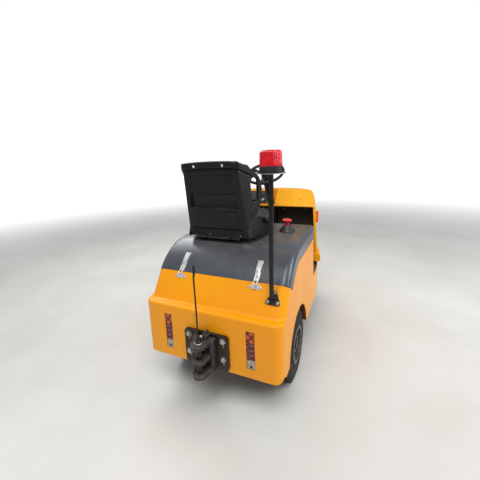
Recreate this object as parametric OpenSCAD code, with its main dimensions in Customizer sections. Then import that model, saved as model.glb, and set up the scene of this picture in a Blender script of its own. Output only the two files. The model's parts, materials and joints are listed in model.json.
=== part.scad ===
// Seated electric tow tractor on three wheels.
// Millimetres. X is the driver's right, Y is forward, Z is up, and the floor is Z = 0.
// Places along Y are measured forward from the rear panel, and from_rear() moves them so
// that the origin lies on the floor under the middle of the whole machine.

/* [Body] */
// Width over the side panels
body_w = 880; // [840:10:960]
// Rear panel to the tip of the front body
body_l = 1720; // [1690:10:1800]
// Height of the skirt's lower edge above the floor
skirt_z = 250; // [235:5:265]
// Height of the ledge across the rear panel
ledge_z = 592; // [560:4:620]
// Depth of that ledge
ledge_d = 46; // [30:2:60]
// Rear panel to the joint between the sloping panel and the hood
slope_top_y = 150; // [130:5:170]
// Height of that joint
slope_top_z = 745; // [725:5:765]
// Plan radius of the rear corners
corner_r = 55; // [30:5:70]
// Radius of the lower rear corners, seen from behind and from the side
low_corner_r = 40; // [30:5:50]
// Thickness of the body panels
skin_t = 4; // [3:1:6]
// Rear panel to the front edge of the side panels
pedestal_y = 950; // [930:10:970]
// Height of the sill and of the floor that the driver steps on
sill_z = 480; // [470:5:495]

/* [Battery] */
// Rear panel to the battery
battery_y = 230; // [220:5:250]
// Length of the battery
battery_l = 630; // [600:10:640]
// Height of the battery
battery_h = 364; // [340:4:380]

/* [Hood] */
// Height of the flat top of the hood
hood_z = 900; // [880:5:920]
// Radius of the hood's curve down to the rear panel
hood_r = 380; // [360:5:400]
// Depth of the hood's side below its top
hood_side = 100; // [80:5:120]
// Thickness of the moulding
hood_t = 5; // [4:1:8]
// Radius of the hood's long shoulders
hood_shoulder_r = 45; // [30:5:60]
// Plan radius of the hood's front corners
hood_plan_r = 40; // [30:5:50]
// Radius of the hood's front top edge
hood_edge_r = 28; // [20:2:34]
// Rear panel to the front of the hood
hood_front_y = 1000; // [985:5:1020]
// Open seam between the hood and the body
seam = 3; // [2:1:5]
// Diameter of the hinge pins
hinge_pin_d = 8; // [6:1:10]
// Outer diameter of the hinge knuckles
knuckle_d = 16; // [14:1:20]

/* [Rear wheels] */
// Outer diameter of a rear tyre
rear_tyre_d = 465; // [455:5:475]
// Width of a rear tyre
rear_tyre_w = 130; // [120:2:134]
// Rear panel to the rear axle
rear_axle_y = 405; // [400:5:420]
// Middle of the drive unit to the right of the body's middle
drive_x = 70; // [50:5:90]
// Width of the drive unit's gear case
drive_w = 100; // [90:5:110]
// Diameter of the gear case
drive_d = 190; // [180:5:195]
// Diameter of the drive motor
motor_d = 130; // [110:5:150]
// Length of the drive motor, from the axle's middle
motor_l = 190; // [170:5:200]
// Outer face of a rear tyre to the side panel's outer face
tyre_inset = 13; // [8:1:20]
// Gap between a rear tyre and the edge of the opening in the side panel
arch_gap = 22.5; // [16:0.5:30]
// Outer diameter of the rim's flange
rear_rim_d = 240; // [232:2:250]
// Diameter of the wheel's bore and of its shaft
rear_shaft_d = 40; // [34:1:46]
// Number of wheel nuts
nut_n = 5; // [4:1:6]
// Diameter of the circle of wheel nuts
nut_circle_d = 140; // [130:2:150]

/* [Front wheel] */
// Outer diameter of the front tyre
front_tyre_d = 400; // [380:5:410]
// Width of the front tyre
front_tyre_w = 100; // [90:2:106]
// Tip of the front body back to the front axle
front_overhang = 250; // [240:5:260]
// Outer diameter of the front rim's flange
front_rim_d = 220; // [205:5:230]
// Diameter of the front axle pin
front_pin_d = 30; // [24:1:34]
// Thickness of each fork leg
fork_leg_t = 14; // [10:1:18]
// Diameter of the kingpin
kingpin_d = 60; // [50:2:70]

/* [Front body] */
// Extra width and length of the rounded rim around the front body, on each side
rim_over = 25; // [15:1:30]
// Height of the underside of that rim
rim_z0 = 515; // [505:5:525]
// Height of its top
rim_z1 = 586; // [575:1:600]
// Tip of the front body back to where its sides begin to curve
nose_l = 670; // [650:5:690]
// Tip of the front body back to the rear edge of the cowl
cowl_l = 480; // [470:5:495]
// Height of the dash's rear edge
dash_z = 1010; // [990:5:1030]
// Height of the crest of the cowl
cowl_z = 1145; // [1130:5:1160]
// Tip of the front body back to the crest of the cowl
crest_l = 368; // [356:2:380]
// Width of the valley in which the steering column stands
valley_w = 130; // [110:5:150]
// Tip of the front body back to the black panel that closes the foot space
toe_l = 345; // [336:1:354]
// Diameter of a headlamp
headlamp_d = 104; // [90:2:116]
// Height of the lower end of a side marker
marker_z = 860; // [840:5:880]
// Height of a side marker
marker_h = 100; // [85:5:110]
// Distance between the headlamps' centres
headlamp_gap = 380; // [340:10:420]

/* [Steering column] */
// Tip of the front body back to the centre of the steering wheel
hand_l = 620; // [606:2:630]
// Height of that centre
hand_z = 1300; // [1290:5:1320]
// Outer diameter of the steering wheel
hand_d = 340; // [320:5:360]
// Thickness of its rim
hand_rim_d = 26; // [22:1:30]
// Lean of the column from upright
column_lean = 30; // [26:1:34]
// Diameter of the column's cover
column_d = 64; // [56:2:72]
// Diameter of the steering shaft
hand_shaft_d = 20; // [16:1:24]

/* [Seat] */
// Middle of the seat, to the right of the body's middle
seat_x = -86; // [-96:2:-76]
// Width of the seat over the front edges of its wings
seat_w = 550; // [520:10:560]
// Width of the seat's back behind, between its rear corners
back_w = 400; // [380:10:420]
// Plan radius of those corners
back_corner_r = 45; // [35:5:55]
// Rear panel to the foot of the seat's back
seat_back_y = 352; // [340:2:365]
// Lean of the seat's back
seat_lean = 10.5; // [8:0.5:13]
// Height of the seat's back along its own slope
seat_back_h = 492; // [460:4:510]
// Depth of the seat cushion
cushion_l = 412; // [392:4:424]
// Thickness of the seat cushion
cushion_t = 105; // [85:5:120]
// Height of the seat's frame above the hood
seat_frame_h = 42; // [36:2:50]
// Wall of the seat's plastic shell
shell_t = 22; // [16:1:26]
// How far the shell's wings reach forward
wing_l = 160; // [145:5:170]
// Width of the slot through each wing
slot_d = 58; // [50:2:64]
// Length of the slot between the middles of its round ends
slot_h = 106; // [90:4:114]
// Middle of the slot, from the back's rear face forward
slot_y = 106; // [100:2:112]
// Middle of the slot's lower end, up the slope of the back
slot_z = 240; // [232:4:252]
// Width of the steel frame under the cushion
seat_frame_w = 410; // [380:10:420]
// Length of a hip guard beside the cushion
guard_l = 212; // [190:2:230]
// Height of a hip guard
guard_h = 190; // [170:5:200]
// Length of its low tail, under the wing of the back
guard_tail = 48; // [40:2:50]
// Height of its straight part, below the round top
guard_straight = 130; // [115:5:140]
// Thickness of a hip guard
guard_t = 20; // [14:1:24]

/* [Coupler] */
// Width of the coupler's base plate
plate_w = 280; // [270:5:300]
// Height of that plate
plate_h = 212; // [205:2:230]
// Thickness of that plate
plate_t = 16; // [12:1:20]
// Height of the plate's lower edge above the floor
plate_z = 266; // [260:2:280]
// Distance between the plate's bolts across
bolt_gap_x = 218; // [200:2:226]
// Distance between the plate's bolts up and down
bolt_gap_z = 110; // [100:2:120]
// Height of the upper bolts
bolt_top_z = 450; // [445:1:456]
// Diameter of the plate's bolt holes
bolt_hole_d = 18; // [14:1:20]
// Width of the narrow slots under the bolt holes
slot_w = 10; // [8:1:12]
// Diameter of the tow pin
tow_pin_d = 35; // [30:1:38]
// Rear panel back to the tow pin's axis
tow_pin_back = 90; // [85:1:100]
// Radius of the coupler's nose around the pin
nose_r = 42; // [36:1:46]
// Height of the tip of the pin's handle
handle_tip_z = 905; // [880:5:930]
// Diameter of the handle's rod
handle_d = 9; // [7:1:12]

/* [Beacon] */
// Outer face of the right side panel to the pole
pole_inset = 70; // [62:1:84]
// Rear panel to the pole
pole_y = 85; // [78:1:92]
// Diameter of the pole
pole_d = 25; // [20:1:30]
// Height of the round plate on the pole
beacon_z = 1350; // [1320:5:1380]
// Diameter of the round plate
beacon_plate_d = 144; // [136:2:160]
// Height of the lamp with its base
beacon_h = 108; // [95:1:120]
// Diameter of the lamp's dome
beacon_d = 114; // [100:2:124]

/* [Rear lamps] */
// Distance between the two rear lamps' centres
tail_gap = 530; // [500:5:560]
// Width of a rear lamp
tail_w = 50; // [40:1:56]
// Height of a rear lamp
tail_h = 226; // [200:2:240]
// Height of the lower end of the rear lamps
tail_z = 306; // [300:2:320]

/* [Fits] */
// Gap all round a turning shaft
shaft_gap = 0.05; // [0.03:0.01:0.1]
// Gap between pieces that only rest on each other along a slope or a curve
rest_gap = 0.3; // [0.2:0.1:0.5]

/* [Hidden] */
$fn = 64;
eps = 0.01;
slab_t = 0.2;
half_w = body_w / 2;
pole_x = half_w - pole_inset;

// Origin: the middle between the coupler's nose and the tip of the front rim
reach_rear = tow_pin_back + nose_r;
reach_front = body_l + rim_over;
rear_y = (reach_rear - reach_front) / 2;
module from_rear() {
    translate([0, rear_y, 0]) children();
}

// Hood curve: an arc about an axis across the body, from the rear joint to the flat top
hood_drop = hood_z - slope_top_z;
hood_angle = acos(1 - hood_drop / hood_r);
hood_axis_y = slope_top_y + hood_r * sin(hood_angle);
hood_axis_z = hood_z - hood_r;
hood_skirt_z = hood_z - hood_side;

// Rear sections: height, and how far the panel has stepped forward there
edge_r = 14;
slope_foot_y = ledge_d + 14;
slope_foot_z = ledge_z + 12;
REAR_ROWS = [
    [skirt_z, 5],
    [skirt_z + 8, 0],
    [ledge_z - edge_r, 0],
    [ledge_z - edge_r * 0.3, edge_r * 0.3],
    [ledge_z, edge_r],
    [ledge_z + 1, ledge_d],
    [slope_foot_z, slope_foot_y],
    [slope_top_z - seam, slope_top_y - seam * (slope_top_y - slope_foot_y) / (slope_top_z - slope_foot_z)]
];
slope_run = slope_top_y - slope_foot_y;
slope_rise = slope_top_z - slope_foot_z;
slope_angle = atan2(slope_rise, slope_run);
function slope_y(z) = slope_foot_y + (z - slope_foot_z) * slope_run / slope_rise;

// Wheels
rear_r = rear_tyre_d / 2;
arch_r = rear_r + arch_gap;
rear_tyre_x = half_w - tyre_inset - rear_tyre_w;
front_r = front_tyre_d / 2;
front_axle_y = body_l - front_overhang;
wheel_seat = 105;

// Frame: the rails stand just inside the rear tyres
rail_w = 42;
rail_x = rear_tyre_x - 27 - rail_w;
rail_z = 276;
rail_h = 60;
rail_top = rail_z + rail_h;
floor_t = 6;
mat_t = 8;
floor_z = sill_z - mat_t - floor_t;
turntable_z = front_tyre_d + 44;
turntable_t = floor_z - turntable_z;
deck_rear_y = front_axle_y - 150;
deck_front_y = front_axle_y + 60;

// Front body: height, half width and tip of each section
nose_root = body_l - nose_l;
cowl_y = body_l - cowl_l;
crest_y = body_l - crest_l;
toe_y = body_l - toe_l;
hand_y = body_l - hand_l;
nose_power = 2.3;
function nose_point(t, a, b) = [
    a * sign(cos(t)) * pow(abs(cos(t)), 2 / nose_power),
    nose_root + (b - nose_root) * pow(sin(t), 2 / nose_power)
];
function nose_y(x, row) = nose_root
    + (row[2] - nose_root) * pow(1 - pow(x / row[1], nose_power), 1 / nose_power);
RIM_ROWS = [
    [rim_z0, half_w + rim_over - 12, body_l + rim_over - 12],
    [rim_z0 + 14, half_w + rim_over, body_l + rim_over],
    [rim_z1 - 22, half_w + rim_over, body_l + rim_over],
    [rim_z1 - 7, half_w + rim_over - 8, body_l + rim_over - 8],
    [rim_z1, half_w + rim_over - 24, body_l + rim_over - 24]
];
COWL_ROWS = [
    [rim_z1, half_w - 2, body_l - 34],
    [dash_z, half_w - 20, body_l - 110],
    [cowl_z - 60, half_w - 34, body_l - 150],
    [cowl_z - 20, half_w - 62, body_l - 195],
    [cowl_z, half_w - 120, body_l - 250]
];

// Headlamps: on the cowl, turned out a little, standing proud of it
headlamp_z = 810;
headlamp_yaw = 20;
headlamp_t = (headlamp_z - rim_z1) / (dash_z - rim_z1);
headlamp_y = nose_y(headlamp_gap / 2, COWL_ROWS[0] + headlamp_t * (COWL_ROWS[1] - COWL_ROWS[0])) + 10;

dash_rise = cowl_z - dash_z;
dash_run = crest_y - cowl_y;

// Coupler ears: height of the underside and thickness of each
EARS = [
    [plate_z - 2, 22],
    [plate_z + 86, 18],
    [plate_z + 172, 22]
];
ear_top = EARS[2][0] + EARS[2][1];

// Hinge of the hood, on the panel in front of the battery
hinge_y = pedestal_y + knuckle_d / 2 + 1;
hinge_z = hood_skirt_z - 10;
HINGE_X = [-300, 300];
knuckle_w = 50;

// Seat
seat_top = hood_z + seat_frame_h;
cushion_y = seat_back_y + 90;
wing_lean = (seat_w - back_w) / 2 / wing_l;
slide_x = seat_frame_w / 2 - 65;

// Stop switch on the hood
stop_x = half_w - 160;
stop_y = 742;

// Moves children to both sides; the left one is a mirror image
module both_sides() {
    children();
    mirror([1, 0, 0]) children();
}

// Block from its lowest corner to its highest
module span(low, high) {
    translate(low) cube(high - low);
}

// Round bar along X, between two places
module bar_x(x0, x1, y, z, d) {
    translate([x0, y, z]) rotate([0, 90, 0]) cylinder(d = d, h = x1 - x0);
}

// Chassis

module chassis_frame() {
    color("dimgray") from_rear() difference() {
        union() {
            both_sides() {
                span([rail_x, 40, rail_z], [rail_x + rail_w, deck_front_y + 10, rail_top]);
                span([rail_x, deck_rear_y, rail_top], [rail_x + rail_w, deck_front_y, turntable_z]);
                span([rail_x, pedestal_y + 6, rail_top], [rail_x + rail_w, pedestal_y + 46, floor_z]);
                span([rail_x + rail_w, pedestal_y + 6, floor_z - 40],
                    [half_w - skin_t, pedestal_y + 46, floor_z]);
            }
            span([-rail_x, pedestal_y + 6, floor_z - 40], [rail_x, pedestal_y + 46, floor_z]);
            span([-plate_w / 2 - 20, skin_t, plate_z - 4], [plate_w / 2 + 20, skin_t + 14, plate_z + plate_h + 16]);
            span([-rail_x - rail_w, skin_t + 14, rail_z], [rail_x + rail_w, 40, rail_top]);
            span([-rail_x, 640, rail_z], [rail_x, 690, rail_top]);
            span([-rail_x - rail_w, deck_rear_y, turntable_z], [rail_x + rail_w, deck_front_y, floor_z]);
        }
        for (x = [-bolt_gap_x / 2, bolt_gap_x / 2])
            for (z = [bolt_top_z, bolt_top_z - bolt_gap_z])
                translate([x, 60, z]) rotate([90, 0, 0]) cylinder(d = bolt_hole_d, h = 80);
        translate([0, front_axle_y, turntable_z - 1])
            cylinder(d = kingpin_d + 2 * shaft_gap, h = turntable_t + 2);
    }
}

// Room inside the skirts, for what lies flat on the frame
module body_plan_room(inset) {
    translate([0, 0, skirt_z]) linear_extrude(rim_z1 - skirt_z) union() {
        nose_plan(half_w - inset, body_l - inset, nose_root);
        translate([-half_w + inset, 0]) square([body_w - 2 * inset, nose_root]);
    }
}

module floor_plate() {
    color("dimgray") from_rear() intersection() {
        span([-half_w + skin_t, pedestal_y, floor_z], [half_w - skin_t, toe_y, floor_z + floor_t]);
        body_plan_room(skin_t);
    }
}

module floor_mat() {
    color("black") from_rear() intersection() {
        span([-half_w + skin_t, pedestal_y + 1, floor_z + floor_t], [half_w - skin_t, toe_y, sill_z]);
        body_plan_room(skin_t + 2);
    }
}

// Room of the hood and its seam, taken out of the panels below it
module hood_room(gap) {
    far = hood_r + 60;
    near = hood_r - hood_side - gap;
    translate([0, hood_axis_y, hood_axis_z]) {
        rotate([0, -90, 180]) rotate_extrude(angle = hood_angle)
            translate([near, -half_w - 1]) square([far - near, body_w + 2]);
        rotate([0, -90, -90]) translate([0, 0, -eps]) linear_extrude(hood_front_y)
            translate([near, -half_w - 1]) square([far - near, body_w + 2]);
    }
}

// One level of the rear corner wrap: a thin slab with rounded rear corners, from its
// lower face at z, ending in front at y + corner_r + front
module rear_slab(z, y, inset, front) {
    r = corner_r - inset;
    w = half_w - inset;
    y_end = y + corner_r + front;
    translate([0, 0, z]) linear_extrude(slab_t) polygon(concat(
        [for (i = [0 : 12]) [-w + r - r * cos(7.5 * i), y + inset + r - r * sin(7.5 * i)]],
        [for (i = [12 : -1 : 0]) [w - r + r * cos(7.5 * i), y + inset + r - r * sin(7.5 * i)]],
        [[w, y_end], [-w, y_end]]));
}

// Stack of the rear sections; past the first and the last row it goes on by over
module rear_block(inset, front, over) {
    last = len(REAR_ROWS) - 1;
    for (i = [0 : last - 1]) {
        rise = i + 1 == last ? over : 0;
        hull() {
            rear_slab(REAR_ROWS[i][0] - inset - (i == 0 ? over : 0), REAR_ROWS[i][1], inset, front);
            rear_slab(REAR_ROWS[i + 1][0] - inset + rise - slab_t,
                REAR_ROWS[i + 1][1] + rise * slope_run / slope_rise, inset, front);
        }
    }
}

// Outline of the body seen from behind, its lower corners round
module rear_outline() {
    r = low_corner_r;
    rotate([90, 0, 0]) translate([0, 0, -corner_r - slope_top_y - 60]) linear_extrude(corner_r + slope_top_y + 70) union() {
        translate([-half_w - 1, skirt_z + r]) square([body_w + 2, hood_z]);
        translate([-half_w + r, skirt_z - 1]) square([body_w - 2 * r, r + 2]);
        for (x = [-half_w + r, half_w - r])
            translate([x, skirt_z + r]) circle(r = r);
    }
}

module rear_panel() {
    color("orange") from_rear() difference() {
        intersection() {
            rear_block(0, 0, 0);
            rear_outline();
        }
        rear_block(skin_t, corner_r, corner_r);
        hood_room(seam);
        both_sides() translate([tail_gap / 2, 0, 0])
            span([-tail_w / 2, -1, tail_z], [tail_w / 2, skin_t + 1, tail_z + tail_h]);
        for (x = [-bolt_gap_x / 2, bolt_gap_x / 2])
            for (z = [bolt_top_z, bolt_top_z - bolt_gap_z])
                translate([x, 20, z]) rotate([90, 0, 0]) cylinder(d = bolt_hole_d + 2, h = 40);
    }
}

// Outline of a side panel, seen from the side: Y to the right, Z up
module side_outline() {
    wrap = corner_r + 0.2;
    difference() {
        polygon(concat(
            [for (i = [0 : len(REAR_ROWS) - 1])
                [REAR_ROWS[i][1] + wrap, REAR_ROWS[i][0] - (i > 1 ? slab_t : 0)]],
            [[slope_top_y + 150, slope_top_z + 100],
             [pedestal_y, slope_top_z + 100],
             [pedestal_y, sill_z],
             [nose_root, sill_z],
             [nose_root, skirt_z]]));
        translate([rear_axle_y, rear_r]) circle(r = arch_r, $fn = 96);
        difference() {
            translate([0, 0]) square([wrap + low_corner_r, skirt_z + low_corner_r]);
            translate([wrap + low_corner_r, skirt_z + low_corner_r]) circle(r = low_corner_r);
        }
    }
}

module side_panel() {
    difference() {
        translate([half_w - skin_t, 0, 0]) rotate([90, 0, 90])
            linear_extrude(skin_t) side_outline();
        hood_room(seam);
    }
}

module side_panel_right() {
    color("orange") from_rear() side_panel();
}

module side_panel_left() {
    color("orange") from_rear() mirror([1, 0, 0]) side_panel();
}

// Half round housing over a rear wheel
module wheel_arch() {
    depth = half_w - skin_t - rear_tyre_x + 8;
    intersection() {
        difference() {
            bar_x(rear_tyre_x - 8, rear_tyre_x - 8 + depth, rear_axle_y, rear_r, 2 * arch_r + 2 * skin_t);
            bar_x(rear_tyre_x - 9, half_w, rear_axle_y, rear_r, 2 * arch_r);
        }
        span([0, 0, skirt_z + 10], [half_w, pedestal_y, ledge_z + 200]);
    }
}

module wheel_arch_right() {
    color("chocolate") from_rear() wheel_arch();
}

module wheel_arch_left() {
    color("chocolate") from_rear() mirror([1, 0, 0]) wheel_arch();
}

module pedestal_panel() {
    color("orange") from_rear()
        span([-half_w + skin_t, pedestal_y - skin_t, rail_top],
            [half_w - skin_t, pedestal_y, hood_skirt_z - seam]);
}

module battery() {
    color("slategray") from_rear() difference() {
        span([-rail_x - 30, battery_y, rail_top], [rail_x + 30, battery_y + battery_l, rail_top + battery_h]);
        bar_x(drive_x - drive_w / 2 - 8, drive_x + drive_w / 2 + 8, rear_axle_y, rear_r, drive_d + 5);
    }
}

// Hinge halves: a bracket with its pin on the body, a knuckle with its arm on the hood
module hinge_brackets() {
    color("silver") from_rear() for (x = HINGE_X) {
        span([x - knuckle_w / 2, pedestal_y + rest_gap, hinge_z - 46],
            [x + knuckle_w / 2, pedestal_y + 6, hinge_z - knuckle_d / 2 - 1.5]);
        for (side = [-1, 1])
            translate([x + side * (knuckle_w / 2 - 4), 0, 0]) {
                span([-4, pedestal_y + rest_gap, hinge_z - 30], [4, pedestal_y + 6, hinge_z]);
                bar_x(-4, 4, hinge_y, hinge_z, knuckle_d - 6);
            }
        bar_x(x - knuckle_w / 2, x + knuckle_w / 2, hinge_y, hinge_z, hinge_pin_d);
    }
}

module hood_hinge() {
    arm_w = knuckle_w / 2 - 8.3;
    color("silver") from_rear() for (x = HINGE_X)
        difference() {
            union() {
                bar_x(x - arm_w, x + arm_w, hinge_y, hinge_z, knuckle_d);
                span([x - arm_w, hinge_y, hinge_z + 3], [x + arm_w, hood_front_y - hood_t, hinge_z + knuckle_d / 2]);
                span([x - arm_w, hood_front_y - hood_t - 5, hinge_z + 3],
                    [x + arm_w, hood_front_y - hood_t, hinge_z + 58]);
            }
            bar_x(x - arm_w - 1, x + arm_w + 1, hinge_y, hinge_z, hinge_pin_d + 2 * shaft_gap);
        }
}

// Coupler

module coupler_plate() {
    r = 20;
    color("#1c1a19") from_rear() difference() {
        translate([0, 0, plate_z]) rotate([90, 0, 0]) linear_extrude(plate_t) union() {
            translate([-plate_w / 2 + r, 0]) square([plate_w - 2 * r, plate_h]);
            translate([-plate_w / 2, r]) square([plate_w, plate_h - 2 * r]);
            for (x = [-1, 1])
                for (z = [r, plate_h - r])
                    translate([x * (plate_w / 2 - r), z]) circle(r = r);
        }
        for (x = [-bolt_gap_x / 2, bolt_gap_x / 2])
            for (z = [bolt_top_z, bolt_top_z - bolt_gap_z]) {
                translate([x, 1, z]) rotate([90, 0, 0]) cylinder(d = bolt_hole_d, h = plate_t + 2);
                span([x - slot_w / 2, -plate_t - 1, z - 40], [x + slot_w / 2, 1, z]);
            }
    }
}

// One ear in plan: a round nose about the pin, widening to the base plate
module ear_plan() {
    back = -plate_t;
    union() {
        translate([0, -tow_pin_back]) circle(r = nose_r);
        polygon([[-nose_r, -tow_pin_back], [nose_r, -tow_pin_back],
            [nose_r + 6, -55], [64, back - 6], [64, back], [-64, back], [-64, back - 6], [-nose_r - 6, -55]]);
    }
}

module coupler_casting() {
    color("#3b3431") from_rear() difference() {
        union() {
            for (ear = EARS)
                translate([0, 0, ear[0]]) linear_extrude(ear[1]) ear_plan();
            span([-64, -plate_t - 14, EARS[0][0]], [64, -plate_t, ear_top]);
            span([-64, -plate_t - 34, EARS[0][0]], [-46, -plate_t, ear_top]);
            span([46, -plate_t - 34, EARS[0][0]], [64, -plate_t, ear_top]);
            translate([14, -plate_t - 46, ear_top - 1]) rotate([0, 12, 0]) cube([14, 44, 34]);
        }
        translate([0, -tow_pin_back, 0]) cylinder(d = tow_pin_d + 2 * shaft_gap, h = ear_top + 40);
    }
}

module tow_pin() {
    rod_z = ear_top + 26;
    bend_z = handle_tip_z - 70;
    grip_x = 4;
    color("#161616") from_rear() translate([0, -tow_pin_back, 0]) {
        translate([0, 0, plate_z - 10]) cylinder(d = tow_pin_d, h = ear_top - plate_z + 10 + rest_gap);
        translate([0, 0, ear_top + rest_gap]) cylinder(d = tow_pin_d + 14, h = 8);
        translate([0, 0, ear_top + 8]) cylinder(d = tow_pin_d - 10, h = 18 + eps);
        translate([0, 0, rod_z - 1]) cylinder(d = handle_d, h = bend_z + 6 - rod_z);
        translate([grip_x, 0, bend_z]) cylinder(d = handle_d + 3, h = handle_tip_z - bend_z);
    }
}

// Latches: levers on the hood, keepers on the sloping panel
latch_x = 251;
latch_w = 32;
latch_l = 128;
latch_h = 11;
latch_span = latch_l / hood_r * 180 / PI;

module hood_latches() {
    color("silver") from_rear() both_sides()
        translate([latch_x, hood_axis_y, hood_axis_z]) rotate([0, -90, 180])
            rotate([0, 0, hood_angle - latch_span - 0.5]) rotate_extrude(angle = latch_span)
                translate([hood_r + rest_gap, -latch_w / 2]) square([latch_h, latch_w]);
}

// Puts children on the sloping panel, at a height, with Z along the panel's normal
module on_slope(x, z) {
    translate([x, slope_y(z), z]) rotate([slope_angle, 0, 0]) children();
}

module latch_keepers() {
    color("silver") from_rear() both_sides() on_slope(latch_x, slope_top_z - 24) {
        span([-30, -14, rest_gap], [30, 10, 4]);
        span([-12, -10, 4 - eps], [12, 14, 14]);
    }
}

// Beacon

module beacon_pole() {
    foot = 683;
    bend = [pole_y, 700];
    reach = (slope_y(bend[1]) - bend[0]) * sin(slope_angle);
    color("#141414") from_rear() {
        translate([pole_x, bend[0], bend[1]]) {
            cylinder(d = pole_d, h = beacon_z - bend[1]);
            sphere(d = pole_d);
            rotate([slope_angle, 0, 0]) mirror([0, 0, 1]) cylinder(d = pole_d, h = reach - rest_gap);
        }
        on_slope(pole_x, foot) translate([0, 0, rest_gap]) linear_extrude(6) hull() {
            for (p = [[-34, -16], [34, -16], [24, 42]])
                translate(p) circle(r = 11);
        }
        translate([pole_x, pole_y, beacon_z]) cylinder(d = beacon_plate_d, h = 4);
    }
}

module beacon_base() {
    color("#141414") from_rear() translate([pole_x, pole_y, beacon_z + 4])
        cylinder(d = beacon_d + 4, h = beacon_h * 0.3);
}

module beacon_dome() {
    color("crimson") from_rear() translate([pole_x, pole_y, beacon_z + 4 + beacon_h * 0.3]) {
        cylinder(d = beacon_d, h = beacon_h * 0.7 - 10);
        translate([0, 0, beacon_h * 0.7 - 10 - eps]) cylinder(d1 = beacon_d, d2 = beacon_d - 18, h = 10 + eps);
    }
}

module tail_lamps() {
    color("firebrick") from_rear() both_sides() translate([tail_gap / 2, 0, 0]) {
        span([-tail_w / 2 + 0.5, 1.5, tail_z + 0.5], [tail_w / 2 - 0.5, skin_t + eps, tail_z + tail_h - 0.5]);
        span([-tail_w / 2 - 8, skin_t, tail_z - 8], [tail_w / 2 + 8, skin_t + 12, tail_z + tail_h + 8]);
    }
}

// Rear axle and wheels

module rear_axle() {
    hub_x = rear_tyre_x - 6;
    color("#2a2a2a") from_rear() {
        bar_x(-hub_x, hub_x, rear_axle_y, rear_r, 84);
        both_sides() {
            bar_x(hub_x - 1, half_w - tyre_inset - 30, rear_axle_y, rear_r, rear_shaft_d);
            span([rail_x, rear_axle_y - 40, rear_r], [rail_x + rail_w, rear_axle_y + 40, rail_z]);
        }
        bar_x(drive_x - drive_w / 2, drive_x + drive_w / 2, rear_axle_y, rear_r, drive_d);
        translate([drive_x, rear_axle_y, rear_r + 4]) rotate([-90, 0, 0]) cylinder(d = motor_d, h = motor_l);
    }
}

// Tyre about the X axis, its inner face at x = 0
module tyre(d, w, seat) {
    r = d / 2;
    rotate([0, 90, 0]) rotate_extrude($fn = 96) polygon([
        [seat + rest_gap, 10], [seat + 22, 3], [r - 42, 0], [r - 14, 5], [r - 3, 16],
        [r, w * 0.32], [r, w * 0.68], [r - 3, w - 16], [r - 14, w - 5], [r - 42, w], [seat + 22, w - 3],
        [seat + rest_gap, w - 10]]);
}

// Wheel rim about the X axis: barrel, flanges, dished disc, hub and stud holes
module rim(flange_d, w, seat, bore_d, dish, nuts) {
    disc_x = w - dish;
    difference() {
        union() {
            rotate([0, 90, 0]) rotate_extrude($fn = 96) polygon([
                [seat - 8, -4], [flange_d / 2, -4], [flange_d / 2, 1], [seat + 4, 2], [seat, 9], [seat, w - 9],
                [seat + 4, w - 2], [flange_d / 2, w - 1], [flange_d / 2, w + 4], [seat - 8, w + 4]]);
            bar_x(disc_x - 8, disc_x, 0, 0, 2 * seat - 10);
            bar_x(disc_x - 36, disc_x + 16, 0, 0, 78);
        }
        bar_x(disc_x - 60, disc_x + 4, 0, 0, bore_d + 2 * shaft_gap);
        for (i = [0 : nuts - 1])
            rotate([i * 360 / nuts, 0, 0]) bar_x(disc_x - 20, disc_x + 20, 0, nut_circle_d / 2, 14);
    }
}

module rear_tyre() {
    translate([rear_tyre_x, rear_axle_y, rear_r]) tyre(rear_tyre_d, rear_tyre_w, wheel_seat);
}

module rear_rim() {
    translate([rear_tyre_x, rear_axle_y, rear_r])
        rim(rear_rim_d, rear_tyre_w, wheel_seat, rear_shaft_d, 30, nut_n);
}

module rear_tyre_right() {
    color("#202020") from_rear() rear_tyre();
}

module rear_tyre_left() {
    color("#202020") from_rear() mirror([1, 0, 0]) rear_tyre();
}

module rear_rim_right() {
    color("#303030") from_rear() rear_rim();
}

module rear_rim_left() {
    color("#303030") from_rear() mirror([1, 0, 0]) rear_rim();
}

// Front wheel and its fork

module front_tyre() {
    color("#202020") from_rear() translate([-front_tyre_w / 2, front_axle_y, front_r])
        tyre(front_tyre_d, front_tyre_w, wheel_seat - 8);
}

module front_wheel_rim() {
    seat = wheel_seat - 8;
    w = front_tyre_w;
    color("#303030") from_rear() translate([-w / 2, front_axle_y, front_r]) difference() {
        union() {
            rotate([0, 90, 0]) rotate_extrude($fn = 96) polygon([
                [seat - 8, -2], [front_rim_d / 2, -2], [front_rim_d / 2, 1], [seat + 4, 2], [seat, 9],
                [seat, w - 9], [seat + 4, w - 2], [front_rim_d / 2, w - 1], [front_rim_d / 2, w + 2],
                [seat - 8, w + 2]]);
            bar_x(w / 2 - 5, w / 2 + 5, 0, 0, 2 * seat - 10);
            bar_x(-5, w + 5, 0, 0, 66);
        }
        bar_x(-10, w + 10, 0, 0, front_pin_d + 2 * shaft_gap);
    }
}

module steer_fork() {
    inner = front_tyre_w / 2 + 8;
    crown_z = front_tyre_d + 18;
    color("#2a2a2a") from_rear() translate([0, front_axle_y, 0]) {
        both_sides() {
            span([inner, -30, front_r], [inner + fork_leg_t, 30, crown_z + eps]);
            bar_x(inner, inner + fork_leg_t, 0, front_r, 60);
        }
        bar_x(-inner - fork_leg_t - 6, inner + fork_leg_t + 6, 0, front_r, front_pin_d);
        translate([0, 0, crown_z]) cylinder(d = 190, h = turntable_z - crown_z - rest_gap);
        translate([0, 0, turntable_z - 1]) cylinder(d = kingpin_d, h = turntable_t + 9);
    }
}

// Front body

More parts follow.
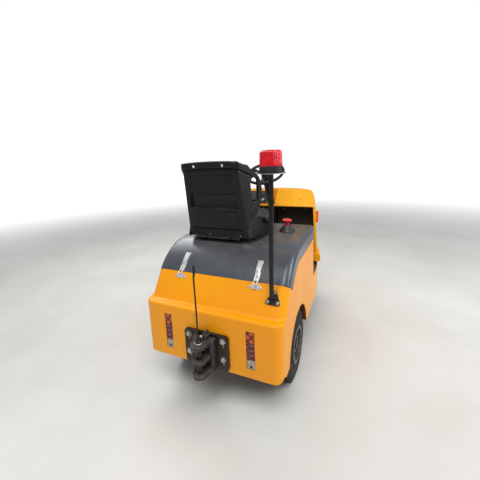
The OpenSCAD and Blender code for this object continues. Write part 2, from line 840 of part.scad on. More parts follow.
// Plan of the front body: half a squarish ellipse in front of nose_root, closed behind at y0
module nose_plan(a, b, y0) {
    n = 36;
    polygon(concat(
        [for (i = [0 : n]) nose_point(180 * i / n, a, b)],
        y0 < nose_root ? [[-a, y0], [a, y0]] : []));
}

module nose_slab(z, a, b, y0) {
    translate([0, 0, z]) linear_extrude(slab_t) nose_plan(a, b, y0);
}

// Loft through rows of height, half width and tip; inset shrinks it all round
module nose_loft(rows, inset, y0) {
    for (i = [0 : len(rows) - 2])
        hull() {
            nose_slab(rows[i][0], rows[i][1] - inset, rows[i][2] - inset, y0);
            nose_slab(rows[i + 1][0] - slab_t, rows[i + 1][1] - inset, rows[i + 1][2] - inset, y0);
        }
}

module front_skirt() {
    color("orange") from_rear() difference() {
        translate([0, 0, skirt_z]) linear_extrude(rim_z0 - skirt_z) difference() {
            nose_plan(half_w, body_l, nose_root);
            nose_plan(half_w - skin_t, body_l - skin_t, nose_root - 20);
        }
        span([-half_w - 1, nose_root - 5, sill_z], [half_w + 1, cowl_y - 30, rim_z0 + 5]);
    }
}

// Rounded rim that runs round the front body like a fender
module front_rim_moulding() {
    color("orange") from_rear() difference() {
        intersection() {
            nose_loft(RIM_ROWS, 0, nose_root);
            span([-half_w - rim_over, cowl_y - 30, rim_z0 + 0.1], [half_w + rim_over, reach_front, rim_z1]);
        }
        nose_loft([for (row = RIM_ROWS) [row[0] + (row[0] - rim_z0) * 0.2 - 2, half_w - 30, body_l - 60]],
            0, nose_root);
    }
}

module nose_slab_block(z0, z1, a, b) {
    hull() {
        nose_slab(z0, a, b, nose_root);
        nose_slab(z1, a, b, nose_root);
    }
}

// The sloping dash top and all that would stand above it
module dash_cut(drop) {
    lean = atan2(dash_rise, dash_run);
    translate([-half_w - 10, cowl_y, dash_z - drop]) rotate([lean, 0, 0])
        translate([0, -300, 0]) cube([body_w + 20, 900, 400]);
}

module valley(grow) {
    span([-valley_w / 2 - grow, cowl_y - 50, dash_z + 14 - grow], [valley_w / 2 + grow, crest_y + 50 + grow, cowl_z + 50]);
}

module cowl_solid(inset, drop) {
    difference() {
        nose_loft([for (row = COWL_ROWS) row - [drop, 0, 0]], inset, nose_root);
        dash_cut(drop * 1.5);
    }
}

module cowl() {
    color("orange") from_rear() difference() {
        intersection() {
            cowl_solid(0, 0);
            span([-half_w, cowl_y, rim_z1 + 0.1], [half_w, reach_front, cowl_z + 1]);
        }
        difference() {
            union() {
                cowl_solid(skin_t, skin_t);
                nose_slab_block(rim_z1 - 10, rim_z1 + 10, half_w - 2 - skin_t, body_l - 36 - skin_t);
            }
            valley(skin_t);
        }
        valley(0);
        column_room(2);
    }
}

// Foot of the steering column on the toe panel, and its line up to the steering wheel
column_len = (toe_y - hand_y) / sin(column_lean);

module on_column() {
    translate([0, hand_y, hand_z]) rotate([column_lean, 0, 0]) children();
}

module column_room(gap) {
    on_column() mirror([0, 0, 1]) cylinder(d = column_d + 2 * gap, h = column_len + 60);
}

module toe_panel() {
    color("#15110f") from_rear() intersection() {
        span([-half_w, toe_y, sill_z - mat_t], [half_w, toe_y + skin_t, dash_z]);
        union() {
            nose_slab_block(floor_z, rim_z0 + 2, half_w - 34, body_l - 66);
            nose_slab_block(rim_z0, rim_z1 + 2, half_w - 34, body_l - 66);
            nose_loft([COWL_ROWS[0], COWL_ROWS[1]], skin_t + 2, nose_root);
        }
    }
}

module steering_column() {
    color("#1a1a1a") from_rear() difference() {
        on_column() {
            translate([0, 0, -column_len - 60]) cylinder(d = column_d, h = column_len + 60 - 70);
            translate([0, 0, -72]) cylinder(d1 = column_d + 16, d2 = column_d + 22, h = 46);
            translate([0, 0, -30]) cylinder(d = hand_shaft_d, h = 34);
        }
        span([-100, toe_y, 400], [100, toe_y + 200, cowl_z]);
    }
}

module steering_wheel() {
    color("#111111") from_rear() on_column() difference() {
        union() {
            rotate_extrude($fn = 72) translate([hand_d / 2 - hand_rim_d / 2, 14]) circle(d = hand_rim_d, $fn = 32);
            translate([0, 0, -20]) cylinder(d = 74, h = 36);
            for (a = [30, 150, 270])
                rotate([0, 0, a]) span([0, -14, -4], [hand_d / 2 - hand_rim_d + 4, 14, 6]);
        }
        translate([0, 0, -21]) cylinder(d = hand_shaft_d + 2 * shaft_gap, h = 26);
    }
}

module instrument() {
    lean = atan2(dash_rise, dash_run);
    color("#181818") from_rear() translate([-200, cowl_y, dash_z]) rotate([lean, 0, 0])
        span([-70, 40, rest_gap], [70, 130, 22]);
}

module pedals() {
    color("#202020") from_rear() for (x = [70, 190]) {
        translate([x, toe_y - 100, sill_z + 70]) rotate([-35, 0, 0]) span([-35, -50, -4], [35, 50, 4]);
        translate([x, toe_y - 100, sill_z + 70]) rotate([0, 0, 0]) span([-8, 0, -4], [8, 100, 4]);
    }
}

module headlamps() {
    color("whitesmoke") from_rear() difference() {
        both_sides() translate([headlamp_gap / 2, headlamp_y, headlamp_z]) rotate([90, 0, -headlamp_yaw])
            cylinder(d = headlamp_d, h = 90);
        nose_loft([COWL_ROWS[0], COWL_ROWS[1]], -rest_gap, nose_root);
    }
}

module side_markers() {
    color("orangered") from_rear() difference() {
        both_sides() span([half_w - 140, cowl_y + 24, marker_z], [half_w - 12, cowl_y + 56, marker_z + marker_h]);
        nose_loft([COWL_ROWS[0], COWL_ROWS[1]], -rest_gap, nose_root);
    }
}

// Hood with what stands on it

// Section across the hood: distance from the curve's axis to the right, body width up
module hood_section(inset, low) {
    top = hood_r - inset;
    w = half_w - inset;
    r = hood_shoulder_r - inset;
    union() {
        translate([low, -w]) square([top - r - low, 2 * w]);
        translate([low, -w + r]) square([top - low, 2 * (w - r)]);
        for (x = [-w + r, w - r])
            translate([top - r, x]) circle(r = r);
    }
}

module hood_solid(inset, low, extra) {
    run = hood_front_y - hood_axis_y - inset;
    plan_r = hood_plan_r - inset;
    edge_r = hood_edge_r - inset;
    difference() {
        translate([0, hood_axis_y, hood_axis_z]) {
            rotate([0, -90, 180]) rotate_extrude(angle = hood_angle + extra) hood_section(inset, low);
            rotate([0, -90, -90]) translate([0, 0, -eps]) linear_extrude(run + eps) hood_section(inset, low);
        }
        both_sides() translate([half_w - hood_plan_r, hood_front_y - hood_plan_r, hood_skirt_z - 3]) difference() {
            cube([plan_r + 1, plan_r + 1, hood_side + 6]);
            translate([0, 0, -1]) cylinder(r = plan_r, h = hood_side + 8);
        }
        translate([-half_w - 1, hood_front_y - hood_edge_r, hood_z - hood_edge_r]) difference() {
            cube([body_w + 2, edge_r + 1, edge_r + 1]);
            rotate([0, 90, 0]) translate([0, 0, -1]) cylinder(r = edge_r, h = body_w + 4);
        }
    }
}

module hood() {
    skirt_r = hood_r - hood_side;
    color("#3c3f42") from_rear() difference() {
        hood_solid(0, skirt_r, 0);
        hood_solid(hood_t, skirt_r - 1, 2);
    }
}

module stop_base() {
    color("#2b2d2f") from_rear() translate([stop_x, stop_y, hood_z]) {
        cylinder(d = 116, h = 10);
        translate([0, 0, 10 - eps]) cylinder(d1 = 104, d2 = 66, h = 34 + eps);
    }
}

module stop_button() {
    color("crimson") from_rear() translate([stop_x, stop_y, hood_z + 44]) {
        cylinder(d = 30, h = 24);
        translate([0, 0, 24 - eps]) cylinder(d1 = 44, d2 = 68, h = 12 + eps);
        translate([0, 0, 36]) cylinder(d1 = 68, d2 = 60, h = 10);
    }
}

module seat_frame() {
    color("#101010") from_rear() translate([seat_x, 0, 0]) {
        both_sides() span([slide_x, cushion_y - 20, hood_z], [slide_x + 32, cushion_y + cushion_l - 40, hood_z + 18]);
        span([-seat_frame_w / 2, cushion_y + 1, hood_z + 18],
            [seat_frame_w / 2, cushion_y + cushion_l - 20, seat_top - rest_gap]);
        span([-slide_x - 10, seat_back_y, hood_z + 18],
            [slide_x + 10, cushion_y + 2, seat_top - 12 - rest_gap]);
    }
}

module seat_cushion() {
    r = 40;
    w = seat_w - 50;
    color("#1c1c1c") from_rear() translate([seat_x, cushion_y, seat_top]) intersection() {
        rotate([90, 0, 90]) translate([0, 0, -w / 2]) linear_extrude(w) union() {
            square([cushion_l - r, cushion_t]);
            square([cushion_l, cushion_t - r]);
            translate([cushion_l - r, cushion_t - r]) circle(r = r);
        }
        linear_extrude(cushion_t) union() {
            translate([-w / 2 + r, 0]) square([w - 2 * r, cushion_l]);
            translate([-w / 2, 0]) square([w, cushion_l - r]);
            for (x = [-w / 2 + r, w / 2 - r])
                translate([x, cushion_l - r]) circle(r = r);
        }
    }
}

// Frame of the leaning seat back: X across, Y into the seat, Z up its slope
module on_back() {
    translate([seat_x, seat_back_y, seat_top - 12]) rotate([seat_lean, 0, 0]) children();
}

// Front view of the back, narrower at its foot, extruded through it
module back_outline(inset, depth) {
    top = seat_w / 2 + 2 - inset;
    foot = top - 28;
    r = 64 - inset;
    h = seat_back_h - inset;
    rotate([90, 0, 0]) translate([0, 0, -depth]) linear_extrude(depth + 20) union() {
        polygon([[-foot, inset], [foot, inset], [top, h * 0.45], [top, h - r], [top - r, h], [-top + r, h],
            [-top, h - r], [-top, h * 0.45]]);
        for (x = [-top + r, top - r])
            translate([x, h - r]) circle(r = r);
    }
}

// Plan of the back's shell: flat behind, wings that lean out at both sides
module back_plan(inset) {
    flare = atan(wing_lean);
    r = back_corner_r;
    cx = back_w / 2 - r * (1 - sin(flare)) / cos(flare);
    front_x = back_w / 2 + wing_lean * (wing_l + 20) - inset / cos(flare);
    n = 8;
    side = concat(
        [for (i = [0 : n]) let (a = 90 - i * (90 - flare) / n)
            [cx + (r - inset) * cos(a), r - (r - inset) * sin(a)]],
        [[front_x, wing_l + 20]]);
    polygon(concat(side, [for (i = [len(side) - 1 : -1 : 0]) [-side[i][0], side[i][1]]]));
}

// Long round slot through both wings, with the light behind it
module wing_slot() {
    both_sides() translate([back_w / 2 - 60, slot_y, slot_z]) rotate([90, 0, 90]) linear_extrude(200) union() {
        circle(d = slot_d);
        translate([-slot_d / 2, 0]) square([slot_d, slot_h]);
        translate([0, slot_h]) circle(d = slot_d);
    }
}

// Panel sunk into the back, wider at its foot
module back_panel(top_w, foot_w, low, high, depth) {
    rotate([90, 0, 0]) translate([0, 0, -depth]) linear_extrude(depth + 1)
        polygon([[-foot_w / 2, low], [foot_w / 2, low], [top_w / 2, high], [-top_w / 2, high]]);
}

module seat_back_shell() {
    color("#232323") from_rear() on_back() difference() {
        intersection() {
            linear_extrude(seat_back_h) back_plan(0);
            back_outline(0, wing_l);
        }
        intersection() {
            translate([0, 0, 30]) linear_extrude(seat_back_h) back_plan(shell_t);
            translate([0, 0, -eps]) back_outline(shell_t, wing_l + 60);
        }
        rotate([90, 0, 90]) translate([0, 0, -seat_w]) linear_extrude(2 * seat_w)
            polygon([[wing_l - 76, -10], [wing_l + 30, -10], [wing_l + 30, 205], [wing_l - 76, 110]]);
        wing_slot();
        back_panel(290, 340, 190, 415, 12);
        back_panel(330, 320, 12, 56, 5);
    }
}

module seat_back_pad() {
    gap = shell_t + rest_gap;
    color("#1c1c1c") from_rear() on_back() intersection() {
        translate([0, 0, 132]) linear_extrude(seat_back_h) back_plan(gap);
        back_outline(gap, wing_l);
        span([-seat_w, 0, 0], [seat_w, wing_l - 26, seat_back_h]);
    }
}

guard_x = seat_w / 2 - 21;

// Raised guards at both sides of the cushion
module hip_guards() {
    r = guard_h - guard_straight;
    color("#232323") from_rear() translate([seat_x, 0, 0]) both_sides() {
        translate([guard_x, cushion_y + 50, seat_top - 20]) rotate([90, 0, 90]) linear_extrude(guard_t) union() {
            translate([-guard_tail, 0]) square([guard_tail + 1, guard_straight - 16]);
            square([guard_l, guard_straight]);
            translate([r, guard_straight]) circle(r = r);
            translate([r, guard_straight]) square([guard_l - 2 * r, r]);
            translate([guard_l - r, guard_straight]) circle(r = r);
        }
        span([seat_frame_w / 2, cushion_y + 60, seat_top - 20], [guard_x + eps, cushion_y + 222, seat_top - rest_gap]);
    }
}

module belt_reel() {
    color("#151515") from_rear()
        translate([seat_x + guard_x + guard_t + rest_gap, cushion_y + 96, seat_top + 84])
            rotate([0, 90, 0]) cylinder(d = 62, h = 34);
}

chassis_frame();
floor_plate();
floor_mat();
rear_panel();
side_panel_right();
side_panel_left();
wheel_arch_right();
wheel_arch_left();
pedestal_panel();
battery();
hinge_brackets();
latch_keepers();
coupler_plate();
coupler_casting();
beacon_pole();
beacon_base();
beacon_dome();
tail_lamps();
rear_axle();
front_skirt();
front_rim_moulding();
cowl();
toe_panel();
steering_column();
instrument();
pedals();
headlamps();
side_markers();
hood();
hood_hinge();
hood_latches();
stop_base();
stop_button();
seat_frame();
seat_cushion();
seat_back_shell();
seat_back_pad();
hip_guards();
belt_reel();
rear_tyre_right();
rear_tyre_left();
rear_rim_right();
rear_rim_left();
steer_fork();
front_tyre();
front_wheel_rim();
steering_wheel();
tow_pin();
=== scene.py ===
import json
import math

import bmesh
import bpy
from mathutils import Matrix, Vector

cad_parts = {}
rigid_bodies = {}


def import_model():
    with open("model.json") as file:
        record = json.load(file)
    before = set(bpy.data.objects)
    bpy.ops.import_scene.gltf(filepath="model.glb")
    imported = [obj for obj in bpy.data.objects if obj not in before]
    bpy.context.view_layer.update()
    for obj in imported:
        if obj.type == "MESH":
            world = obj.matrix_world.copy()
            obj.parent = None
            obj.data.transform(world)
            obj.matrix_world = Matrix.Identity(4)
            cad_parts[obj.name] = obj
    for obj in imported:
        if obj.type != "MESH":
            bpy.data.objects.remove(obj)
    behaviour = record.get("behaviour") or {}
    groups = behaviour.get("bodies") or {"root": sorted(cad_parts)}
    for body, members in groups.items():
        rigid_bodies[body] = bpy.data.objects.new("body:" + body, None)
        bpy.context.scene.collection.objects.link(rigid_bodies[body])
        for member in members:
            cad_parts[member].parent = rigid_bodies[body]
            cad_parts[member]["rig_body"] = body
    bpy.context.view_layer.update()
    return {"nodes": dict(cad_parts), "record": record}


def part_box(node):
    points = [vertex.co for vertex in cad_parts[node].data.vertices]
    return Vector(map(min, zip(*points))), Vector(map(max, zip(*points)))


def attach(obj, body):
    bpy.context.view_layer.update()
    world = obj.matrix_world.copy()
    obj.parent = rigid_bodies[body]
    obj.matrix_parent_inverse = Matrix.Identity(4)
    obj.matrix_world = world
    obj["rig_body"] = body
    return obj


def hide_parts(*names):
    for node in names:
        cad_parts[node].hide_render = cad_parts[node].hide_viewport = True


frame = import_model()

# Frame, rear axle and fork. Steel rails with cross members, welded, and the rear axle and
# steered fork that they carry, all painted satin black and dusty from the road. Each is
# its solid with the corners merged and the sharp edges rounded off.
REAR_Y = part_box("rear_panel")[0].y
COLLECTION = bpy.context.scene.collection


def at(x, y, z):
    """Place in metres from millimetres, y measured forward from the rear panel."""
    return Vector((x / 1000, y / 1000 + REAR_Y, z / 1000))


def srgb(red, green, blue):
    """Colour as the eye reads it, 0 to 255, as linear light."""
    parts = [part / 255 for part in (red, green, blue)]
    linear = [p / 12.92 if p <= 0.04045 else ((p + 0.055) / 1.055) ** 2.4 for p in parts]
    return (*linear, 1.0)


def new_group(name, inputs, outputs):
    """Empty shader node group with float sockets, its inputs as name: default."""
    group = bpy.data.node_groups.new(name, "ShaderNodeTree")
    for label, value in inputs.items():
        socket = group.interface.new_socket(label, in_out="INPUT", socket_type="NodeSocketFloat")
        socket.default_value = value
    for label in outputs:
        group.interface.new_socket(label, in_out="OUTPUT", socket_type="NodeSocketFloat")
    return group, group.nodes.new("NodeGroupInput"), group.nodes.new("NodeGroupOutput")


def math_node(tree, operation, first, second=None, clamp=False):
    """Result of a sum on numbers or sockets."""
    node = tree.nodes.new("ShaderNodeMath")
    node.operation = operation
    node.use_clamp = clamp
    for slot, value in zip(node.inputs, (first, second)):
        if isinstance(value, (int, float)):
            slot.default_value = value
        elif value is not None:
            tree.links.new(value, slot)
    return node.outputs[0]


def ramp_node(tree, value, low, high, to_low=0.0, to_high=1.0):
    """Smooth rise of a socket's value from one range to another."""
    node = tree.nodes.new("ShaderNodeMapRange")
    node.interpolation_type = "SMOOTHSTEP"
    tree.links.new(value, node.inputs["Value"])
    for label, number in (("From Min", low), ("From Max", high), ("To Min", to_low), ("To Max", to_high)):
        node.inputs[label].default_value = number
    return node.outputs["Result"]


def noise_node(tree, vector, scale, detail=3.0, roughness=0.55):
    node = tree.nodes.new("ShaderNodeTexNoise")
    node.inputs["Detail"].default_value = detail
    node.inputs["Roughness"].default_value = roughness
    tree.links.new(vector, node.inputs["Vector"])
    if isinstance(scale, (int, float)):
        node.inputs["Scale"].default_value = scale
    else:
        tree.links.new(scale, node.inputs["Scale"])
    return node.outputs["Fac"]


def make_tone():
    """Cloudy change of tone over a surface, from 0 to 1."""
    group, given, out = new_group("tone", {"Scale": 3.0}, ["Value"])
    where = group.nodes.new("ShaderNodeTexCoord").outputs["Object"]
    clouds = noise_node(group, where, given.outputs["Scale"], detail=5.0)
    group.links.new(ramp_node(group, clouds, 0.32, 0.68), out.inputs["Value"])
    return group


def make_grain():
    """Fine pitted skin of moulded plastic, cast iron or vinyl, as a height."""
    group, given, out = new_group("grain", {"Scale": 600.0, "Coarse": 0.3}, ["Height"])
    where = group.nodes.new("ShaderNodeTexCoord").outputs["Object"]
    fine = noise_node(group, where, given.outputs["Scale"], detail=2.0)
    cells = group.nodes.new("ShaderNodeTexVoronoi")
    group.links.new(where, cells.inputs["Vector"])
    group.links.new(given.outputs["Scale"], cells.inputs["Scale"])
    slow = noise_node(group, where, math_node(group, "MULTIPLY", given.outputs["Scale"], 0.08), detail=4.0)
    mixed = math_node(group, "ADD", fine, cells.outputs["Distance"])
    coarse = math_node(group, "MULTIPLY", slow, given.outputs["Coarse"])
    group.links.new(math_node(group, "ADD", mixed, coarse), out.inputs["Height"])
    return group


def make_dust():
    """Dust that settles on what faces up and is thrown up near the floor, as a mask."""
    group, given, out = new_group("dust", {"Amount": 0.3, "Low": 0.1, "High": 0.6}, ["Mask"])
    place = group.nodes.new("ShaderNodeTexCoord")
    facing = group.nodes.new("ShaderNodeSeparateXYZ")
    group.links.new(place.outputs["Normal"], facing.inputs[0])
    spot = group.nodes.new("ShaderNodeSeparateXYZ")
    group.links.new(place.outputs["Object"], spot.inputs[0])
    up = ramp_node(group, facing.outputs["Z"], 0.35, 1.0, 0.0, 0.7)
    near = group.nodes.new("ShaderNodeMapRange")
    group.links.new(spot.outputs["Z"], near.inputs["Value"])
    group.links.new(given.outputs["Low"], near.inputs["From Min"])
    group.links.new(given.outputs["High"], near.inputs["From Max"])
    near.inputs["To Min"].default_value = 1.0
    near.inputs["To Max"].default_value = 0.0
    patches = noise_node(group, place.outputs["Object"], 7.0, detail=6.0, roughness=0.65)
    grit = noise_node(group, place.outputs["Object"], 160.0, detail=3.0)
    cloudy = ramp_node(group, patches, 0.35, 0.7)
    broken = math_node(group, "MULTIPLY", cloudy, ramp_node(group, grit, 0.3, 0.62))
    settled = math_node(group, "ADD", up, near.outputs["Result"], clamp=True)
    mask = math_node(group, "MULTIPLY", settled, math_node(group, "ADD", broken, 0.25))
    mask = math_node(group, "MULTIPLY", mask, given.outputs["Amount"], clamp=True)
    group.links.new(mask, out.inputs["Mask"])
    return group


def make_scratches():
    """Fine crossing scratches and rubbed patches, as a mask."""
    group, given, out = new_group("scratches", {"Scale": 10.0, "Amount": 0.4}, ["Mask"])
    where = group.nodes.new("ShaderNodeTexCoord").outputs["Object"]
    total = None
    for turn, stretch in (((0.3, 0.2, 0.7), (1.0, 26.0, 22.0)), ((1.1, 0.5, 2.2), (24.0, 1.2, 28.0))):
        mapping = group.nodes.new("ShaderNodeMapping")
        mapping.inputs["Rotation"].default_value = turn
        mapping.inputs["Scale"].default_value = stretch
        group.links.new(where, mapping.inputs["Vector"])
        lines = noise_node(group, mapping.outputs["Vector"], given.outputs["Scale"], detail=2.0)
        sharp = ramp_node(group, lines, 0.66, 0.72)
        total = sharp if total is None else math_node(group, "MAXIMUM", total, sharp)
    patches = ramp_node(group, noise_node(group, where, 5.0, detail=4.0), 0.45, 0.62)
    mask = math_node(group, "MULTIPLY", total, patches)
    mask = math_node(group, "MULTIPLY", mask, given.outputs["Amount"], clamp=True)
    group.links.new(mask, out.inputs["Mask"])
    return group


TONE = make_tone()
GRAIN = make_grain()
DUST = make_dust()
SCRATCHES = make_scratches()


def use_group(tree, group, **values):
    """First output of a node group placed in a tree with its own values."""
    node = tree.nodes.new("ShaderNodeGroup")
    node.node_tree = group
    for label, value in values.items():
        node.inputs[label].default_value = value
    return node.outputs[0]


def mix_colour(tree, factor, first, second):
    node = tree.nodes.new("ShaderNodeMix")
    node.data_type = "RGBA"
    tree.links.new(factor, node.inputs["Factor"])
    for slot, value in ((node.inputs["A"], first), (node.inputs["B"], second)):
        if isinstance(value, tuple):
            slot.default_value = value
        else:
            tree.links.new(value, slot)
    return node.outputs["Result"]


def finish(name, colour, second, tone=3.0, rough=(0.4, 0.5), grain=None, dust=None, scratch=None, **shader):
    """Material with a cloudy tone between two colours. grain is (size in metres, depth in
    metres, coarse share), dust is (amount, low, high, colour) and scratch is (scale,
    amount, colour)."""
    made = bpy.data.materials.new(name)
    made.use_nodes = True
    tree = made.node_tree
    main = tree.nodes["Principled BSDF"]
    for label, value in shader.items():
        main.inputs[label.replace("_", " ").title().replace("Ior", "IOR")].default_value = value
    clouds = use_group(tree, TONE, Scale=tone)
    base = mix_colour(tree, clouds, colour, second)
    roughness = ramp_node(tree, clouds, 0.0, 1.0, rough[0], rough[1])
    if scratch:
        marks = use_group(tree, SCRATCHES, Scale=scratch[0], Amount=scratch[1])
        base = mix_colour(tree, marks, base, scratch[2])
    if dust:
        settled = use_group(tree, DUST, Amount=dust[0], Low=dust[1], High=dust[2])
        base = mix_colour(tree, settled, base, dust[3])
        dull = math_node(tree, "MULTIPLY", settled, 0.5)
        roughness = math_node(tree, "ADD", roughness, dull, clamp=True)
    tree.links.new(base, main.inputs["Base Color"])
    tree.links.new(roughness, main.inputs["Roughness"])
    if grain:
        bump = tree.nodes.new("ShaderNodeBump")
        bump.inputs["Distance"].default_value = grain[1]
        tree.links.new(use_group(tree, GRAIN, Scale=1 / grain[0], Coarse=grain[2]), bump.inputs["Height"])
        tree.links.new(bump.outputs["Normal"], main.inputs["Normal"])
    return made


def add_piece(name, source, material, body, slot, *nodes, sharp=50):
    """Links a mesh or bmesh as a finished piece that rides on a body and stands for nodes."""
    if isinstance(source, bmesh.types.BMesh):
        mesh = bpy.data.meshes.new(name)
        source.to_mesh(mesh)
        source.free()
    else:
        mesh = source
    mesh.polygons.foreach_set("use_smooth", [True] * len(mesh.polygons))
    mesh.set_sharp_from_angle(angle=math.radians(sharp))
    if material:
        mesh.materials.clear()
        mesh.materials.append(material)
    obj = bpy.data.objects.new(name, mesh)
    COLLECTION.objects.link(obj)
    weighted = obj.modifiers.new("weighted", "WEIGHTED_NORMAL")
    weighted.keep_sharp = True
    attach(obj, body)
    if nodes:
        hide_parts(*nodes)
    return obj


def body_of(node):
    return frame["nodes"][node]["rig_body"]


def slot_of(node):
    return next(s["material_slot"] for s in frame["record"]["subparts"] if s["node"] == node)


def opened(mesh):
    """Bmesh of a mesh, for more work on it."""
    solid = bmesh.new()
    solid.from_mesh(mesh)
    return solid


def merged(node):
    """The node's solid as a bmesh, corners merged and flat faces made whole."""
    solid = opened(frame["nodes"][node].data)
    bmesh.ops.remove_doubles(solid, verts=solid.verts, dist=2e-5)
    bmesh.ops.dissolve_limit(solid, angle_limit=math.radians(0.5), verts=solid.verts, edges=solid.edges)
    return solid


def sharp_edges(solid, angle=34):
    limit = math.radians(angle)
    return [e for e in solid.edges if len(e.link_faces) == 2 and e.calc_face_angle(0) > limit]


def rounded(solid, edges, width, segments):
    """Rounds some edges of a bmesh and gives the faces that this makes."""
    made = bmesh.ops.bevel(solid, geom=edges, offset=width, offset_type="OFFSET", segments=segments,
                           profile=0.6, affect="EDGES", clamp_overlap=True)
    return made["faces"]


def round_edges(solid, width, segments=2, angle=34):
    return rounded(solid, sharp_edges(solid, angle), width, segments)


def dressed(node, material, width=0.0012, segments=2):
    """The node's own solid as a finished piece, with rounded edges."""
    solid = merged(node)
    if width:
        round_edges(solid, width, segments)
    return add_piece(node + "_shape", solid, material, body_of(node), slot_of(node), node)


ROAD_DUST = srgb(134, 124, 108)
frame_paint = finish("frame_paint", srgb(28, 28, 28), srgb(40, 39, 37), tone=4, rough=(0.42, 0.6),
                     grain=(0.004, 0.00015, 0.8), dust=(0.8, 0.2, 0.7, ROAD_DUST))
dressed("chassis_frame", frame_paint, 0.002)
dressed("rear_axle", frame_paint, 0.003)
dressed("steer_fork", frame_paint, 0.002)

# Body shell. Pressed steel in gloss orange, welded up into one skin: the rear panel with
# its ledge and slope, both sides and the skirt round the nose. The lower edge is turned
# in, and the wheel openings, the seam of the hood and the lamp slots are cut out.
BODY_HALF = 440
BODY_LENGTH = 1720
SHEET_T = 4
CORNER = 55
LOW_CORNER = 40
SKIRT_Z = 250
SILL_Z = 480
RIM_Z = 515
LEDGE_Z = 592
LEDGE_ROUND = 14
SLOPE = math.atan2(141, 90)
NOSE_ROOT = 1050
NOSE_TOP_Y = 1210
NOSE_POWER = 2 / 2.3
PEDESTAL_Y = 950
ARCH_Y = 405
ARCH_Z = 232.5
ARCH_R = 255
LAMP_X = 265
LAMP_HALF = 25
LAMP_LOW = 306
LAMP_HIGH = 532
SEAM = 3
SEAM_Y = 150
SEAM_Z = 745
HOOD_Z = 900
HOOD_R = 380
HOOD_SIDE = 100
HOOD_TURN = math.acos(1 - (HOOD_Z - SEAM_Z) / HOOD_R)
HOOD_Y = SEAM_Y + HOOD_R * math.sin(HOOD_TURN)
OPEN_TOP = 960
BESIDE = 470


def draft(source):
    """Links a bmesh as an object that only helps to make another."""
    mesh = bpy.data.meshes.new("draft")
    source.to_mesh(mesh)
    source.free()
    obj = bpy.data.objects.new("draft", mesh)
    COLLECTION.objects.link(obj)
    return obj


def baked(obj):
    """Mesh of a drafted object with its modifiers applied; the draft goes."""
    graph = bpy.context.evaluated_depsgraph_get()
    mesh = bpy.data.meshes.new_from_object(obj.evaluated_get(graph))
    bpy.data.objects.remove(obj)
    return mesh


def carved(solid, *cutters):
    """Solid with every cutter taken out, as a bmesh; all are closed bmeshes."""
    body = draft(solid)
    tools = [draft(cutter) for cutter in cutters]
    for tool in tools:
        cut = body.modifiers.new("cut", "BOOLEAN")
        cut.operation = "DIFFERENCE"
        cut.solver = "EXACT"
        cut.object = tool
    mesh = baked(body)
    for tool in tools:
        bpy.data.objects.remove(tool)
    left = opened(mesh)
    bmesh.ops.remove_doubles(left, verts=left.verts, dist=3e-5)
    return left


def loft(rings, closed=True, caps=True):
    """Bmesh through rings of equally many points."""
    made = bmesh.new()
    rows = [[made.verts.new(p) for p in ring] for ring in rings]
    for low, high in zip(rows, rows[1:]):
        count = len(low)
        for i in range(count if closed else count - 1):
            j = (i + 1) % count
            made.faces.new((low[i], low[j], high[j], high[i]))
    if caps:
        made.faces.new(rows[0][::-1])
        made.faces.new(rows[-1])
    bmesh.ops.recalc_face_normals(made, faces=made.faces)
    return made


def prism(outline, low, high, axis):
    """Closed bmesh of an outline in millimetres pushed along an axis from low to high. The
    outline is y, z pairs for axis x, x, z pairs for axis y and x, y pairs for axis z."""
    if axis == "x":
        ends = [[at(level, a, b) for a, b in outline] for level in (low, high)]
    elif axis == "y":
        ends = [[at(a, level, b) for a, b in outline] for level in (low, high)]
    else:
        ends = [[at(a, b, level) for a, b in outline] for level in (low, high)]
    return loft(ends)


def arc(centre, radius, start, end, steps):
    """Points of an arc, angles in degrees."""
    turns = [math.radians(start + (end - start) * i / steps) for i in range(steps + 1)]
    return [(centre[0] + radius * math.cos(t), centre[1] + radius * math.sin(t)) for t in turns]


def body_ring(height, back, inset):
    """Plan of the shell at one height, its rear face moved forward by back."""
    w = BODY_HALF - inset
    r = CORNER - inset
    rear = back + inset
    reach = BODY_LENGTH - inset - NOSE_ROOT
    straight = (340, 620, 900, NOSE_ROOT - 1)
    ring = arc((-w + r, rear + r), r, 180, 270, 12) + arc((w - r, rear + r), r, 270, 360, 12)
    ring += [(w, y) for y in straight]
    for i in range(61):
        c, s = math.cos(math.pi * i / 60), math.sin(math.pi * i / 60)
        ring.append((w * math.copysign(abs(c) ** NOSE_POWER, c), NOSE_ROOT + reach * s ** NOSE_POWER))
    ring += [(-w, y) for y in straight[::-1]]
    return [at(x, y, height) for x, y in ring]


# Each row is a height, how far the rear face stands forward there, and the edge's turn in.
levels = [(SKIRT_Z, 0, 5.5), (SKIRT_Z + 1.5, 0, 2.6), (SKIRT_Z + 4, 0, 0.9), (SKIRT_Z + 8, 0, 0)]
levels += [(SKIRT_Z + 150, 0, 0)]
levels += [(z, LEDGE_ROUND - y, 0) for y, z in arc((0, LEDGE_Z - LEDGE_ROUND), LEDGE_ROUND, 0, 84, 6)]
levels += [(LEDGE_Z + 22.5 + z, 40 + y, 0) for y, z in arc((0.6, 0), 22, -90, -90 + math.degrees(SLOPE), 6)]
levels += [(SEAM_Z, SEAM_Y, 0), (HOOD_Z, SEAM_Y + (HOOD_Z - SEAM_Z) / math.tan(SLOPE), 0)]
skin = draft(loft([body_ring(*level) for level in levels], caps=False))
wall = skin.modifiers.new("wall", "SOLIDIFY")
wall.thickness = SHEET_T / 1000
wall.offset = -1


